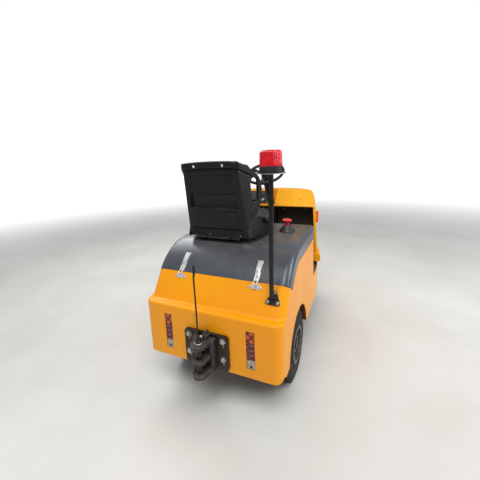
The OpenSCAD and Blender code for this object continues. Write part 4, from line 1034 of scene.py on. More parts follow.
# A wing's reach forward at each height, and its height at each depth.
WING_END = ((0, 22), (100, 24), (108, 30), (116, 66), (130, 92), (160, 128), (206, 148), (290, 160),
            (334, 157), (366, 146), (392, 128), (418, 102), (440, 75), (468, 38), (482, 13), (492, 4))
WING_TOP = ((0, 492), (12, 482), (38, 468), (76, 440), (104, 418), (130, 392), (160, 350))


def rise(value, low, high):
    """Smooth rise from 0 to 1 between two values."""
    t = min(max((value - low) / (high - low), 0), 1)
    return t * t * (3 - 2 * t)


def between(value, low, high, soft=4.0):
    """Smooth 1 between two values and 0 outside them."""
    return rise(value, low - soft, low + soft) * (1 - rise(value, high - soft, high + soft))


def along(table, value):
    """Value read from a table of pairs, straight between them."""
    for (a, low), (b, high) in zip(table, table[1:]):
        if value <= b:
            return low + (high - low) * max(value - a, 0) / (b - a)
    return table[-1][1]


def back_relief(x, depth, z):
    """How far the back stands proud of its plain shape, in millimetres."""
    x = abs(x)
    flat = 1 - rise(depth, 3, 16)
    panel_x = 167 - (z - 190) * 0.12
    panel = between(z, 199, 415) * (1 - rise(x, panel_x, panel_x + 6))
    sunk = 9 + 6 * (1 - rise(z, 290, 298)) + 9 * (1 - rise(z, 196, 286))
    pocket_x = 158 + (z - 60) * 0.1
    pocket = between(z, 64, 193, 3) * (1 - rise(x, pocket_x, pocket_x + 10))
    lip = math.exp(-((z - 190) / 4.0) ** 2) * (1 - rise(x, 170, 178))
    low = between(z, 10, 58, 3) * (1 - rise(x, 176, 182))
    top = along(WING_TOP, depth)
    collar = rise(z, top - 41, top - 36) * 9 - 3 * between(z, top - 46, top - 40, 2)
    collar *= 1 - rise(depth, 60, 130)
    crease = 145 + 0.2 * depth + 0.003 * depth ** 2
    tuck = 3 * (1 - rise(z, crease - 5, crease + 2)) * rise(depth, 16, 40)
    ridge = 3 * math.exp(-((z - crease - 4) / 5) ** 2) * rise(depth, 24, 50)
    return flat * (pocket * 9 + lip * 4 - panel * sunk - low * 8) + collar - tuck + ridge


def back_ring(z):
    """Closed plan of the shell at one height: the flat back, a corner and a wing, mirrored."""
    corner_x = 216 - 31 * z / BACK_HEIGHT
    flare = math.atan((WING_X - corner_x) / WING)
    r = 18 + 20 * rise(z, 380, 480)
    turn = math.pi / 2 - flare
    flat = corner_x - r * math.tan(turn / 2)
    end = along(WING_END, z)
    arc_end = r * (1 - math.cos(turn))
    length = r * math.acos(1 - end / r) if end < arc_end else r * turn + (end - arc_end) / math.cos(flare)
    half = [(flat * i / 49, 0.0, 0.0) for i in range(50)]
    for i in range(1, 37):
        s = length * i / 36
        t = min(s / r, turn)
        more = s - r * t
        x = flat + r * math.sin(t) + more * math.sin(flare)
        depth = r * (1 - math.cos(t)) + more * math.cos(flare)
        half.append((x, depth, t))
    edge = min(BACK_HEIGHT - z, z * 2.2)
    trim = 9 - math.sqrt(max(81 - max(9 - edge, 0) ** 2, 0))
    outer = []
    inner = []
    for x, depth, t in half:
        nx, nd = math.sin(t), -math.cos(t)
        out = back_relief(x, depth, z) - trim
        within = SHELL_T - trim - 6 * rise(depth, 20, 60)
        outer.append((x + nx * out, depth + nd * out))
        inner.append((x - nx * within, depth - nd * within))
    tip_x, tip_d = ((a + b) / 2 for a, b in zip(outer[-1], inner[-1]))
    gap = math.dist(outer[-1], inner[-1]) / 2
    last = half[-1][2]
    tip = [(tip_x + gap * math.sin(last + t), tip_d - gap * math.cos(last + t))
           for t in (math.pi * k / 6 for k in range(1, 6))]
    right = outer + tip + inner[::-1]
    ring = right + [(-x, d) for x, d in right[::-1]][1:-1]
    crown = 8 * rise(z, 380, BACK_HEIGHT)
    return [Vector((x, d, z + crown * (1 - (x / 220) ** 2))) / 1000 for x, d in ring]


def slot_cutter(side):
    """Long round slot of a wing, as seen from the side."""
    line = arc((103, 240), 28, 180, 360, 14) + arc((110, 344), 29, 0, 180, 14)
    return loft([[Vector((side * x, d, z)) / 1000 for d, z in line] for x in (188, 320)])


back_levels = [0, 0.7, 1.6, 2.8, 4.2] + [6 + 4 * i for i in range(119)]
back_levels += [481.5, 484, 486.2, 488, 489.6, 490.8, 491.6, BACK_HEIGHT]
back = loft([back_ring(z) for z in sorted(back_levels)])
back = carved(back, slot_cutter(1), slot_cutter(-1))
slot_rims = [e for e in sharp_edges(back, 50)
             if all(abs(v.co.x) > 0.19 and 0.07 < v.co.y < 0.145 and 0.2 < v.co.z < 0.38 for v in e.verts)]
rounded(back, slot_rims, 0.003, 3)
seat_plastic = finish("seat_plastic", srgb(16, 16, 16), srgb(22, 21, 20), tone=4, rough=(0.36, 0.48),
                      grain=(0.0014, 0.0001, 0.4), dust=(0.14, 0.2, 0.4, ROAD_DUST), specular_ior_level=0.3)
add_piece("seat_back_moulding", moved(back, BACK), seat_plastic, "hood", "seat_shell", "seat_back_shell",
          sharp=60)


def back_spots(places, proud):
    """Spots for screws on the flat back, at x, z places that stand proud of its plain face."""
    return [(BACK @ (Vector((x, -proud, z)) / 1000), BACKWARD, UPWARD, (1, 1.25, 1)) for x, z in places]


collar_spots = back_spots(((-96, 474), (102, 474)), 8.6)
pocket_spots = back_spots(((-79, 150), (53, 150)), 8.6)
low_spots = back_spots(((-63, 12), (158, 12)), -7.8)
add_piece("seat_collar_screws", repeated(screw(15, 4), collar_spots, steel, 1.0, 3), None, "hood",
          "zinc_steel")
add_piece("seat_back_screws", repeated(screw(9, 2.4), pocket_spots, black_plastic, 1.0, 4), None, "hood",
          "black_plastic")
add_piece("seat_foot_screws", repeated(screw(7, 2), low_spots, steel, 1.0, 5), None, "hood", "zinc_steel")

# Seat cushion and back pad. Moulded foam in black vinyl, swelled by simulation from the
# solid of each, with sewn channels pressed in. Both sit inside the shell.
vinyl = finish("vinyl", srgb(24, 24, 24), srgb(31, 30, 30), tone=5, rough=(0.38, 0.5),
               grain=(0.0022, 0.0002, 0.5), dust=(0.25, 0.2, 0.4, ROAD_DUST), specular_ior_level=0.45)


def stuffed(node, shrink, voxel, cap, held):
    """Foam piece swelled from a node's solid; held(place) says which points stay put."""
    solid = merged(node)
    low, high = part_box(node)
    middle = (low + high) / 2
    scale = [1 - 2 * shrink / 1000 / (high[i] - low[i]) for i in range(3)]
    for v in solid.verts:
        v.co = Vector(middle[i] + (v.co[i] - middle[i]) * scale[i] for i in range(3))
    shape = draft(solid)
    remesh = shape.modifiers.new("remesh", "REMESH")
    remesh.mode = "VOXEL"
    remesh.voxel_size = voxel / 1000
    even = baked(shape)
    puffed = bpy.data.objects.new("puffed", even)
    COLLECTION.objects.link(puffed)
    start = [v.co.copy() for v in even.vertices]
    pins = puffed.vertex_groups.new(name="pins")
    pins.add([i for i, place in enumerate(start) if held(place)], 1.0, "REPLACE")
    cloth = puffed.modifiers.new("cloth", "CLOTH")
    cloth.settings.quality = 6
    cloth.settings.mass = 0.3
    cloth.settings.tension_stiffness = cloth.settings.compression_stiffness = 18
    cloth.settings.bending_stiffness = 4
    cloth.settings.use_pressure = True
    cloth.settings.uniform_pressure_force = 4
    cloth.settings.effector_weights.gravity = 0
    cloth.settings.vertex_group_mass = "pins"
    cloth.collision_settings.use_collision = False
    cloth.collision_settings.use_self_collision = False
    for step in range(1, 21):
        bpy.context.scene.frame_set(step)
    swelled = baked(puffed)
    bpy.context.scene.frame_set(1)
    for vert, place in zip(swelled.vertices, start):
        moved_by = vert.co - place
        if moved_by.length > cap / 1000:
            vert.co = place + moved_by.normalized() * cap / 1000
    even = swelled
    fine = opened(even)
    for _ in range(2):
        bmesh.ops.smooth_vert(fine, verts=fine.verts, factor=0.5, use_axis_x=True, use_axis_y=True,
                              use_axis_z=True)
    shape = draft(fine)
    finer = shape.modifiers.new("finer", "SUBSURF")
    finer.levels = finer.render_levels = 1
    return opened(baked(shape))


cushion_low, cushion_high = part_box("seat_cushion")
CUSHION_X = (cushion_low.x + cushion_high.x) / 2
cushion = stuffed("seat_cushion", 9, 6, 24, lambda p: p.z < cushion_low.z + 0.014)


def cushion_press(p):
    """Side bolsters stand proud of the middle, which has three cross channels."""
    top = rise(p.z, cushion_high.z - 0.030, cushion_high.z - 0.010)
    x = abs(p.x - CUSHION_X)
    y = p.y - cushion_low.y
    seam = math.exp(-((x - 0.158) / 0.006) ** 2)
    cross = sum(math.exp(-((y - line) / 0.0055) ** 2) for line in (0.10, 0.19, 0.28))
    cross *= 1 - rise(x, 0.140, 0.152)
    bowl = 0.012 * (1 - rise(x, 0.08, 0.2)) * rise(y, 0.02, 0.12) * (1 - rise(y, 0.26, 0.40))
    return Vector((0, 0, -top * (0.007 * min(seam + cross, 1) + bowl)))


for v in cushion.verts:
    v.co = v.co + cushion_press(v.co)
    v.co.z = max(v.co.z, cushion_low.z + 0.0006)
    v.co.y = max(v.co.y, cushion_low.y + 0.001)
    v.co.x = min(max(v.co.x, cushion_low.x - 0.003), cushion_high.x + 0.003)
add_piece("seat_cushion_foam", cushion, vinyl, "hood", "seat_cover", "seat_cushion", sharp=180)
pad_inverse = BACK.inverted()
pad = stuffed("seat_back_pad", 7, 6, 22, lambda p: (pad_inverse @ p).y < 0.034)


def pad_press(p):
    """Bolsters at both sides and three cross channels on the face of the back pad."""
    spot = pad_inverse @ p
    face = rise(spot.y, 0.045, 0.075)
    x = abs(spot.x)
    seam = math.exp(-((x - 0.125) / 0.006) ** 2)
    cross = sum(math.exp(-((spot.z - line) / 0.0055) ** 2) for line in (0.22, 0.30, 0.38))
    cross *= 1 - rise(x, 0.108, 0.120)
    return BACKWARD * face * 0.006 * min(seam + cross, 1)


for v in pad.verts:
    v.co = v.co + pad_press(v.co)
    spot = pad_inverse @ v.co
    limit = along(WING_TOP, max(0.0, (abs(spot.x) * 1000 - 186) / 0.556)) - 26
    if spot.z > limit / 1000:
        v.co = BACK @ Vector((spot.x, spot.y, limit / 1000))
add_piece("seat_back_foam", pad, vinyl, "hood", "seat_cover", "seat_back_pad", sharp=180)

# Seat frame, guards and belt reel. The seat slides on two steel rails, black painted.
# The raised guards are smooth black mouldings, and the belt reel beside the right one is
# a black drum with a bright ring.
worn("seat_frame", black_paint, 0.002)
# Each row is a guard's section: how far forward, x at its top and at its foot, its height.
GUARD = ((340, 201, 229, 1046), (356, 207, 231, 1054), (376, 217, 237, 1064), (400, 229, 244, 1072),
         (425, 240, 250, 1073), (455, 252, 257, 1066), (492, 263, 265, 1054), (538, 270, 271, 1040),
         (600, 273, 273, 1010), (650, 273, 273, 985), (680, 271, 271, 968), (694, 269, 269, 955),
         (701, 267, 267, 940), (704, 265, 265, 930))
GUARD_LOW = 922
GUARD_T = 17
GUARD_ROUND = 9


def guard_rings(side):
    """Sections of one guard from back to front, each with a round top."""
    rings = []
    for y, top_x, low_x, top in GUARD:
        wall_top = top - GUARD_ROUND
        crown = min(GUARD_ROUND, (top - GUARD_LOW) / 3)
        middle = top_x - GUARD_T / 2
        outer = [(low_x + (top_x - low_x) * i / 8, GUARD_LOW + (wall_top - GUARD_LOW) * i / 8)
                 for i in range(9)]
        inner = [(x - GUARD_T, z) for x, z in outer[::-1]]
        round_top = [(middle + GUARD_T / 2 * math.cos(t), wall_top + crown * math.sin(t))
                     for t in (math.pi * k / 8 for k in range(1, 8))]
        rings.append([at(SEAT_X + side * x, y, z) for x, z in outer + round_top + inner])
    return rings


guards = []
for side in (-1, 1):
    guard = draft(loft(guard_rings(side)))
    smoother = guard.modifiers.new("smoother", "SUBSURF")
    smoother.levels = smoother.render_levels = 1
    near = SEAT_X + side * 206
    outside = SEAT_X + side * 258
    arm = prism([(near, 923), (outside, 923), (outside, 940), (near, 940)], 502, 664, "y")
    round_edges(arm, 0.002, 2)
    guards += [opened(baked(guard)), arm]
add_piece("hip_guard_mouldings", joined(*guards), seat_plastic, "hood", "seat_shell", "hip_guards", sharp=60)
reel_low, reel_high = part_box("belt_reel")
REEL = Matrix.Translation((reel_low + reel_high) / 2) @ Matrix.Rotation(math.pi / 2, 4, "Y")
drum = spun([(26, -17), (29, -16), (30, -13), (30, 8), (28, 10), (28, 13), (25, 16), (16, 16.6), (15, 14),
             (6, 14)], 56, 28, 0.25)
add_piece("belt_reel_drum", moved(drum, REEL), black_plastic, "hood", "black_plastic", "belt_reel")
ring = spun([(24.6, 15), (26.4, 16.6), (25.4, 18.2), (21.4, 18.2), (20.4, 16.6), (20.4, 15)], 56)
add_piece("belt_reel_ring", moved(ring, REEL), steel, "hood", "zinc_steel")

# Front body. Two orange mouldings: the rounded rim that runs round like a fender, and the
# cowl with its sloping dash, folded down at the edge that faces the driver. A valley in
# the dash lets the steering column through.
COWL_Y = 1240
CREST_Y = 1352
DASH_Z = 1010
COWL_Z = 1145
DASH_LEAN = math.atan2(COWL_Z - DASH_Z, CREST_Y - COWL_Y)
COWL_WALL = 4
VALLEY_HALF = 34
VALLEY_Z = 1024
STEER_Y = 1100
STEER_Z = 1300
STEER_LEAN = math.radians(30)
# Each row is a plan of the cowl: its height, half its width, and its foremost y.
COWL_ROWS = ((586, 438, 1686), (1010, 424, 1612), (1108, 420, 1594), (1130, 415, 1584), (1140, 407, 1574),
             (1145, 394, 1560))
moulding = finish("orange_moulding", srgb(255, 178, 10), srgb(252, 170, 6), tone=2.2, rough=(0.34, 0.42),
                  grain=(0.003, 0.00003, 0.6), dust=(0.06, 0.2, 0.4, srgb(226, 160, 70)),
                  specular_ior_level=0.35, coat_weight=0.25, coat_roughness=0.15)
dressed("front_rim_moulding", moulding, 0.004, 3)


def nose_ring(height, half, tip):
    """Plan of the round nose at one height, from side to side."""
    points = []
    for i in range(73):
        c, s = math.cos(math.pi * i / 72), math.sin(math.pi * i / 72)
        x = half * math.copysign(abs(c) ** NOSE_POWER, c)
        points.append(at(x, NOSE_ROOT + (tip - NOSE_ROOT) * s ** NOSE_POWER, height))
    return points


def cowl_block(inset, drop, back):
    """Solid cowl up to its sloping top, its walls moved in and its top moved down."""
    rings = [nose_ring(z if z < DASH_Z else z - drop, half - inset, tip - inset)
             for z, half, tip in COWL_ROWS]
    low = DASH_Z - drop / math.cos(DASH_LEAN)
    tilt = math.tan(DASH_LEAN)
    above = [(900, low - (COWL_Y - 900) * tilt), (1500, low + (1500 - COWL_Y) * tilt), (1500, 1900),
             (900, 1900)]
    behind = [(1000, 500), (back, 500), (back, 1900), (1000, 1900)]
    return carved(loft(rings), prism(above, -600, 600, "x"), prism(behind, -600, 600, "x"))


def column_room(gap):
    """Round way for the steering column, wider than the column by gap all round."""
    axis = Vector((0, math.sin(STEER_LEAN), -math.cos(STEER_LEAN)))
    return moved(spun([(32 + gap, 60), (32 + gap, 700)], 40), facing(at(0, STEER_Y, STEER_Z), axis))


def valley(grow):
    """Straight valley in the middle of the dash, made larger by grow."""
    low = VALLEY_Z - grow
    outline = [(1150, low), (1402 + grow, low), (1402 + grow, 1250), (1150, 1250)]
    return prism(outline, -VALLEY_HALF - grow, VALLEY_HALF + grow, "x")


hollow = carved(cowl_block(COWL_WALL, COWL_WALL, COWL_Y + COWL_WALL), valley(COWL_WALL))
portal = prism([(405, 560), (387, 1001), (-387, 1001), (-405, 560)], 1200, 1260, "y")
cowl = carved(cowl_block(0, 0, COWL_Y), hollow, portal, valley(0), column_room(2))
bmesh.ops.dissolve_limit(cowl, angle_limit=math.radians(0.3), verts=cowl.verts, edges=cowl.edges)
dash_edges = [e for e in sharp_edges(cowl, 24)
              if all(v.co.z > 1.009 and v.co.y < REAR_Y + 1.36 and abs(v.co.x) > 0.06 for v in e.verts)]
rounded(cowl, dash_edges, 0.007, 4)
add_piece("cowl_moulding", cowl, moulding, "chassis", "moulding", "cowl", sharp=40)

# Dash. A dark plate on its left half carries the instrument behind glass, the key switch
# and the lamp rocker, all in black plastic, the switch with a bright ring. One screw shows
# on the right half.


def on_dash(x, up, out=0.0):
    """Place on the dash at x, up its slope from the folded edge and out from its face."""
    c, s = math.cos(DASH_LEAN), math.sin(DASH_LEAN)
    return at(x, COWL_Y + up * c - out * s, DASH_Z + up * s + out * c)


def dash_place(x, up, out=0.0):
    """Matrix of the same place, with z out of the dash and y up its slope."""
    return facing(on_dash(x, up, out), DASH_OUT, DASH_UP)


DASH_OUT = Vector((0, -math.sin(DASH_LEAN), math.cos(DASH_LEAN)))
DASH_UP = Vector((0, math.cos(DASH_LEAN), math.sin(DASH_LEAN)))
dash_spots = [(on_dash(x, up), DASH_OUT, DASH_UP, EVEN) for x, up in ((270, 66), (-300, 66))]
add_piece("dash_screws", repeated(screw(9, 2.6), dash_spots, black_plastic, 3.0, 8), None, "chassis",
          "black_plastic")
# The plate is black plastic; its brown tint is a painted reflection of the orange cowl round it.
dash_black_and_reflection = finish("dash_plate_black_and_reflection", srgb(44, 30, 25), srgb(56, 38, 30), tone=8, rough=(0.4, 0.55),
                    grain=(0.001, 0.0001, 0.3))
plate_outline = [(-318, 14), (-44, 14), (-44, 158), (-290, 158), (-318, 130)]
dash_plate = loft([[on_dash(x, up, h) for x, up in plate_outline] for h in (-0.5, 2.6)])
round_edges(dash_plate, 0.001, 2)
add_piece("dash_plate", dash_plate, dash_black_and_reflection, "chassis", "black_plastic")
meter = merged("instrument")
round_edges(meter, 0.003, 3)
add_piece("instrument_case", meter, black_plastic, "chassis", "black_plastic", "instrument")
glass = finish("meter_glass", srgb(58, 72, 66), srgb(44, 56, 52), tone=30, rough=(0.05, 0.1),
               coat_weight=1.0)
screen = block((52, 30, 21.8), (52, 30, 22.6), (51, 29, 23))
add_piece("instrument_glass", moved(screen, dash_place(-200, 85)), glass, "chassis", "black_plastic")
SWITCHES_X = -92
key_place = dash_place(SWITCHES_X, 58, 2.4)
key_ring = spun([(15, 0.2), (15, 4), (13, 6), (9, 6), (8, 4.5), (1, 4.5)], 40)
add_piece("key_switch_ring", moved(key_ring, key_place), steel, "chassis", "zinc_steel")
key_blade = block((1, 4, 4), (1, 4, 12), (1, 9, 13), (1, 11, 26), (1, 8, 30))
add_piece("key_blade", moved(key_blade, key_place), black_plastic, "chassis", "black_plastic")
rocker = block((12, 19, 0.3), (12, 19, 2.5), (11, 18, 3), (8.5, 15, 3), (8, 14, 6), (7.5, 13, 6.4))
rocker = moved(rocker, dash_place(SWITCHES_X, 116, 2.4))
add_piece("lamp_rocker", rocker, black_plastic, "chassis", "black_plastic")

# Headlamps and side markers. Two round lamps with fluted glasses stand in black buckets
# that are let into the cowl, and an amber lens is held to each side of it by two screws.
HEADLAMP_TURN = math.radians(20)
bucket_profile = [(30, -60), (44, -58), (51, -40), (52, -6), (52, 1), (50, 4), (46.5, 4.6),
                  (45, 2), (45, -2)]
glass_profile = [(45.5, -1), (45, 1), (40, 4), (30, 6.6), (16, 8.4), (4, 9)]
buckets = []
glasses = []
for side in (-1, 1):
    out = Vector((side * math.sin(HEADLAMP_TURN), math.cos(HEADLAMP_TURN), 0))
    lamp_place = facing(at(side * 190, 1613, 810), out)
    buckets.append(moved(spun(bucket_profile, 64), lamp_place))
    glasses.append(moved(spun(glass_profile, 64, 32, 0.15), lamp_place))
add_piece("headlamp_buckets", joined(*buckets), black_plastic, "chassis", "black_plastic", "headlamps")
# The headlamp glasses and the amber lenses carry painted glints and painted shade in their facets.
add_piece("headlamp_glasses", joined(*glasses), lens_clear, "chassis", "lamp_clear")
lens_amber = lens_glint_finish("lens_amber", srgb(250, 112, 12), srgb(206, 66, 6), 0.008, 0.4)
markers = merged("side_markers")
round_edges(markers, 0.004, 3)
add_piece("side_marker_lenses", markers, lens_amber, "chassis", "marker_lens", "side_markers")
marker_spots = [(at(side * 428, 1280, z), (side, 0, 0), UP, EVEN) for side in (-1, 1) for z in (868, 952)]
add_piece("side_marker_screws", repeated(screw(6, 2), marker_spots, zinc, 3.0, 14), None, "chassis",
          "zinc_steel")

# Footwell. A black toe panel across the front, a ribbed rubber mat on the floor plate and
# two pedals with ribbed rubber pads.
toe_black = finish("toe_panel_black", srgb(22, 18, 16), srgb(30, 25, 22), tone=4, rough=(0.55, 0.7),
                    grain=(0.003, 0.0001, 0.6), dust=(0.3, 0.4, 0.9, ROAD_DUST))
dressed("toe_panel", toe_black, 0.001)
toe_places = ((300, 960), (-330, 960), (330, 560), (-330, 560), (90, 960), (-120, 960))
toe_spots = [(at(x, 1375, z), BEHIND, UP, EVEN) for x, z in toe_places]
add_piece("toe_panel_screws", repeated(screw(13, 4), toe_spots, zinc, 3.0, 12), None, "chassis",
          "zinc_steel")
dressed("floor_plate", frame_paint, 0.001)
mat_black = finish("mat_black", srgb(20, 20, 20), srgb(30, 29, 28), tone=6, rough=(0.7, 0.85),
                   grain=(0.003, 0.0003, 0.2), dust=(0.8, 0.3, 0.9, ROAD_DUST))
dressed("floor_mat", mat_black, 0.002)
mat_rib = block((2.6, 198, -0.5), (2.4, 198, 1.2), (1.4, 197, 2))
mat_spots = [(at(x, 1160, SILL_Z), UP, AHEAD, EVEN) for x in range(-384, 385, 12)]
add_piece("floor_mat_ribs", repeated(mat_rib, mat_spots, mat_black), None, "chassis", "mat")
worn("pedals", black_paint, 0.0015, 2)
PAD_LEAN = math.radians(-35)
along_pad = Vector((0, math.cos(PAD_LEAN), math.sin(PAD_LEAN)))
# The ribs lean back towards the driver, so that only their edges stand out of the pads.
rib_out = Vector((0, math.sin(PAD_LEAN), math.cos(PAD_LEAN)))
pad_rib = block((31, 2.6, -0.3), (31, 2.4, 2), (30, 1.4, 3))
pad_spots = []
for x in (70, 190):
    for step in range(-42, 43, 12):
        place = at(x, 1275, 550) + along_pad * step / 1000 + rib_out * 0.004
        pad_spots.append((place, rib_out, along_pad, EVEN))
pedal_rubber = finish("pedal_rubber", srgb(26, 26, 26), srgb(36, 35, 34), tone=8, rough=(0.7, 0.85),
                      grain=(0.002, 0.0002, 0.3), dust=(0.5, 0.3, 0.9, ROAD_DUST))
add_piece("pedal_pad_ribs", repeated(pad_rib, pad_spots, pedal_rubber), None, "chassis", "pedal_rubber")

# Steering. A black steel column, and a wheel of hard black plastic with three spokes, a
# moulded cap over its nut and finger grips under the rim.
worn("steering_column", black_paint, 0.0015, 2)
grip_plastic = finish("grip_plastic", srgb(17, 17, 17), srgb(25, 25, 25), tone=6, rough=(0.36, 0.48),
                      grain=(0.001, 0.0001, 0.3), specular_ior_level=0.4)
dressed("steering_wheel", grip_plastic, 0.002, 3)
STEER = Matrix.Translation(at(0, STEER_Y, STEER_Z)) @ Matrix.Rotation(STEER_LEAN, 4, "X")
STEER_TURN = STEER.to_3x3()
nut_cap = spun([(38, 8), (39, 12), (38, 18), (34, 22), (26, 24), (24, 22.6), (22, 24), (10, 25),
                (2, 25)], 56)
add_piece("steering_cap", moved(nut_cap, STEER), grip_plastic, "steering_wheel", "grip_plastic")
grip_bump = spun([(5.5, -1), (5, 1.6), (3, 2.8), (0.6, 3)], 16)
grip_spots = []
for i in range(36):
    turn = Matrix.Rotation(math.tau * i / 36, 3, "Z")
    place = STEER @ (turn @ Vector((0.157, 0, 0.0016)))
    along_rim = STEER_TURN @ (turn @ Vector((0, 1, 0)))
    grip_spots.append((place, STEER_TURN @ Vector((0, 0, -1)), along_rim, (1, 1.7, 1)))
add_piece("steering_grips", repeated(grip_bump, grip_spots, grip_plastic), None, "steering_wheel",
          "grip_plastic")

# Tyres and rims. Solid rubber tyres with lugs across their shoulders and a plain, dusty
# running band, pressed on to dished steel rims in grey paint.
rubber = finish("tyre_rubber", srgb(26, 25, 24), srgb(36, 34, 31), tone=8, rough=(0.72, 0.88),
                grain=(0.004, 0.0004, 1.0), dust=(0.2, 0.1, 0.9, ROAD_DUST), specular_ior_level=0.25)
rim_paint = finish("rim_paint", srgb(70, 69, 66), srgb(88, 86, 81), tone=8, rough=(0.35, 0.5),
                   grain=(0.004, 0.0001, 0.6), dust=(0.5, 0.1, 0.6, ROAD_DUST), metallic=0.3)


def hoop(section, steps=96):
    """Ring turned about z from a closed section of radius, height pairs."""
    made = bmesh.new()
    rows = []
    for i in range(steps):
        c, s = math.cos(math.tau * i / steps), math.sin(math.tau * i / steps)
        rows.append([made.verts.new(Vector((r * c, r * s, h)) / 1000) for r, h in section])
    for i, row in enumerate(rows):
        far = rows[(i + 1) % steps]
        for j in range(len(row)):
            k = (j + 1) % len(row)
            made.faces.new((row[j], row[k], far[k], far[j]))
    bmesh.ops.recalc_face_normals(made, faces=made.faces)
    return made


def tyre_section(radius, half, seat):
    """Tyre section from bead to crown, its middle at height 0, with a ring on each wall."""
    bead = [(seat + 0.5, half - 10), (seat + 20, half - 3), (seat + 24, half - 1.2), (seat + 28, half - 1.2),
            (seat + 31, half - 2.6)]
    wall_ring = [(radius - 46, half - 1.6), (radius - 43, half), (radius - 38, half),
                 (radius - 35, half - 2.4)]
    shoulder = [(radius - 20, half - 6), (radius - 10, half - 12), (radius - 4, half - 19),
                (radius - 1.5, half - 30), (radius, half - 42)]
    side = bead + wall_ring + shoulder
    return side + [(r, -h) for r, h in side[::-1]]


def tyre_lug():
    """Block across a shoulder, its top at height 0 and its foot inside the tyre."""
    foot_shape = ((-12, 2), (-9, 36), (9, 36), (12, 2))
    return loft([[Vector((x * grow, y * grow, z)) / 1000 for x, y in foot_shape]
                 for z, grow in ((-16, 1.06), (-2, 1.03), (0, 0.96))])


LUGS = 44
# Each row is a tyre, its rim, the side that faces out, and the radius where the rim ends.
WHEELS = (("rear_tyre_right", "rear_rim_right", 1, 105), ("rear_tyre_left", "rear_rim_left", -1, 105),
          ("front_tyre", "front_wheel_rim", 1, 97))
for tyre, rim, side, seat in WHEELS:
    low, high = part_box(tyre)
    middle = (low + high) / 2
    half = (high.x - low.x) * 500
    radius = (high.z - low.z) * 500
    carcass = moved(hoop(tyre_section(radius - 2.5, half, seat)), facing(middle, (side, 0, 0)))
    add_piece(tyre + "_carcass", carcass, rubber, body_of(tyre), "tyre", tyre, sharp=32)
    lug_spots = []
    for i in range(LUGS):
        for way in (-1, 1):
            turn = math.tau * (i + way * 0.25) / LUGS
            out = Vector((0, math.cos(turn), math.sin(turn)))
            crown = middle + out * (radius - 0.6) / 1000 + Vector((way * (half - 51) / 1000, 0, 0))
            lug_spots.append((crown, out, (way, 0, 0), EVEN))
    add_piece(tyre + "_lugs", repeated(tyre_lug(), lug_spots, rubber), None, body_of(tyre), "tyre")
    dressed(rim, rim_paint, 0.0015)

# Rear rims. Each has an edge worn bright, five zinc-plated nuts in a ring and a black cap
# of turned steel over its hub.
NUT_RING = 0.07
NUT_DEPTH = 0.034
bright_rim = finish("worn_rim_edge", srgb(128, 126, 120), srgb(92, 89, 84), tone=30, rough=(0.3, 0.5),
                    grain=(0.003, 0.0001, 0.6), dust=(0.3, 0.1, 0.6, ROAD_DUST), metallic=0.8)
for name, side in (("rear_rim_right", 1), ("rear_rim_left", -1)):
    low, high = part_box(name)
    middle = (low + high) / 2
    outer_x = high.x if side > 0 else low.x
    outward = (side, 0, 0)
    flange = hoop([(116, -0.4), (119.4, -0.4), (120.4, 0.6), (120.4, 3), (119, 4.6), (116.4, 4.9)])
    flange_place = facing(Vector((outer_x - side * 0.0042, middle.y, middle.z)), outward)
    add_piece(name + "_edge", moved(flange, flange_place), bright_rim, body_of(name), "rim_paint")
    disc_x = outer_x - side * NUT_DEPTH
    nut_spots = []
    for i in range(5):
        c, s = math.cos(math.tau * i / 5), math.sin(math.tau * i / 5)
        place = Vector((disc_x, middle.y + NUT_RING * c, middle.z + NUT_RING * s))
        nut_spots.append((place, outward, (0, c, s), EVEN))
    nuts = repeated(bolt(19, 12, 26, 2.5), nut_spots, zinc, 3.0, 21)
    add_piece(name + "_nuts", nuts, None, body_of(name), "zinc_steel")
    hub_cap = spun([(34, -1), (34, 10), (31, 14), (28, 15), (27, 13.5), (10, 14), (3, 15)], 40)
    hub_place = facing(Vector((disc_x + side * 0.016, middle.y, middle.z)), outward)
    add_piece(name + "_cap", moved(hub_cap, hub_place), black_paint, body_of(name), "rim_paint")

# Wheel boxes and front panel of the battery room. Bent steel sheet: the wheel boxes, orange
# sheet coloured dark red as painted shade inside the arches, and dusty from the road; the
# panel in the body's orange with six screws.
arch_painted_shade_and_dust = finish("arch_painted_shade_and_dust", srgb(112, 36, 16), srgb(84, 28, 14), tone=12, rough=(0.55, 0.75),
                  grain=(0.006, 0.0003, 1.0), dust=(0.6, 0.1, 0.7, srgb(96, 70, 54)), specular_ior_level=0.3)
dressed("wheel_arch_right", arch_painted_shade_and_dust, 0.001)
dressed("wheel_arch_left", arch_painted_shade_and_dust, 0.001)
dressed("pedestal_panel", orange, 0.001)
panel_spots = [(at(x, PEDESTAL_Y, z), AHEAD, UP, EVEN) for x in (-400, 0, 400) for z in (500, 730)]
add_piece("pedestal_screws", repeated(screw(12, 4), panel_spots, zinc, 3.0, 17), None, "chassis",
          "zinc_steel")

# Battery. A steel tray of twelve dark grey lead-acid cells in two rows, each with a red
# filler cap, and flat lead bridges that join one cell to the next.
battery_grey = finish("battery_grey", srgb(70, 74, 78), srgb(84, 88, 92), tone=6, rough=(0.4, 0.55),
                      grain=(0.003, 0.0001, 0.5), dust=(0.4, 0.2, 0.5, ROAD_DUST))
dressed("battery", battery_grey, 0.005)
cell_grey = finish("cell_grey", srgb(44, 46, 48), srgb(56, 58, 60), tone=10, rough=(0.4, 0.5),
                   grain=(0.001, 0.0001, 0.3))
CELL_PITCH = 95
CELL_TOP = Vector((0, 0, 0.0095))
cell_spots = [(at(x, 308 + step * CELL_PITCH, 699), UP, AHEAD, EVEN) for x in (-128, 128)
              for step in range(6)]
cell = block((118, 44, 0), (118, 44, 7), (115, 41, 10))
add_piece("battery_cells", repeated(cell, cell_spots, cell_grey, 0.0, 31), None, "chassis", "battery_steel")
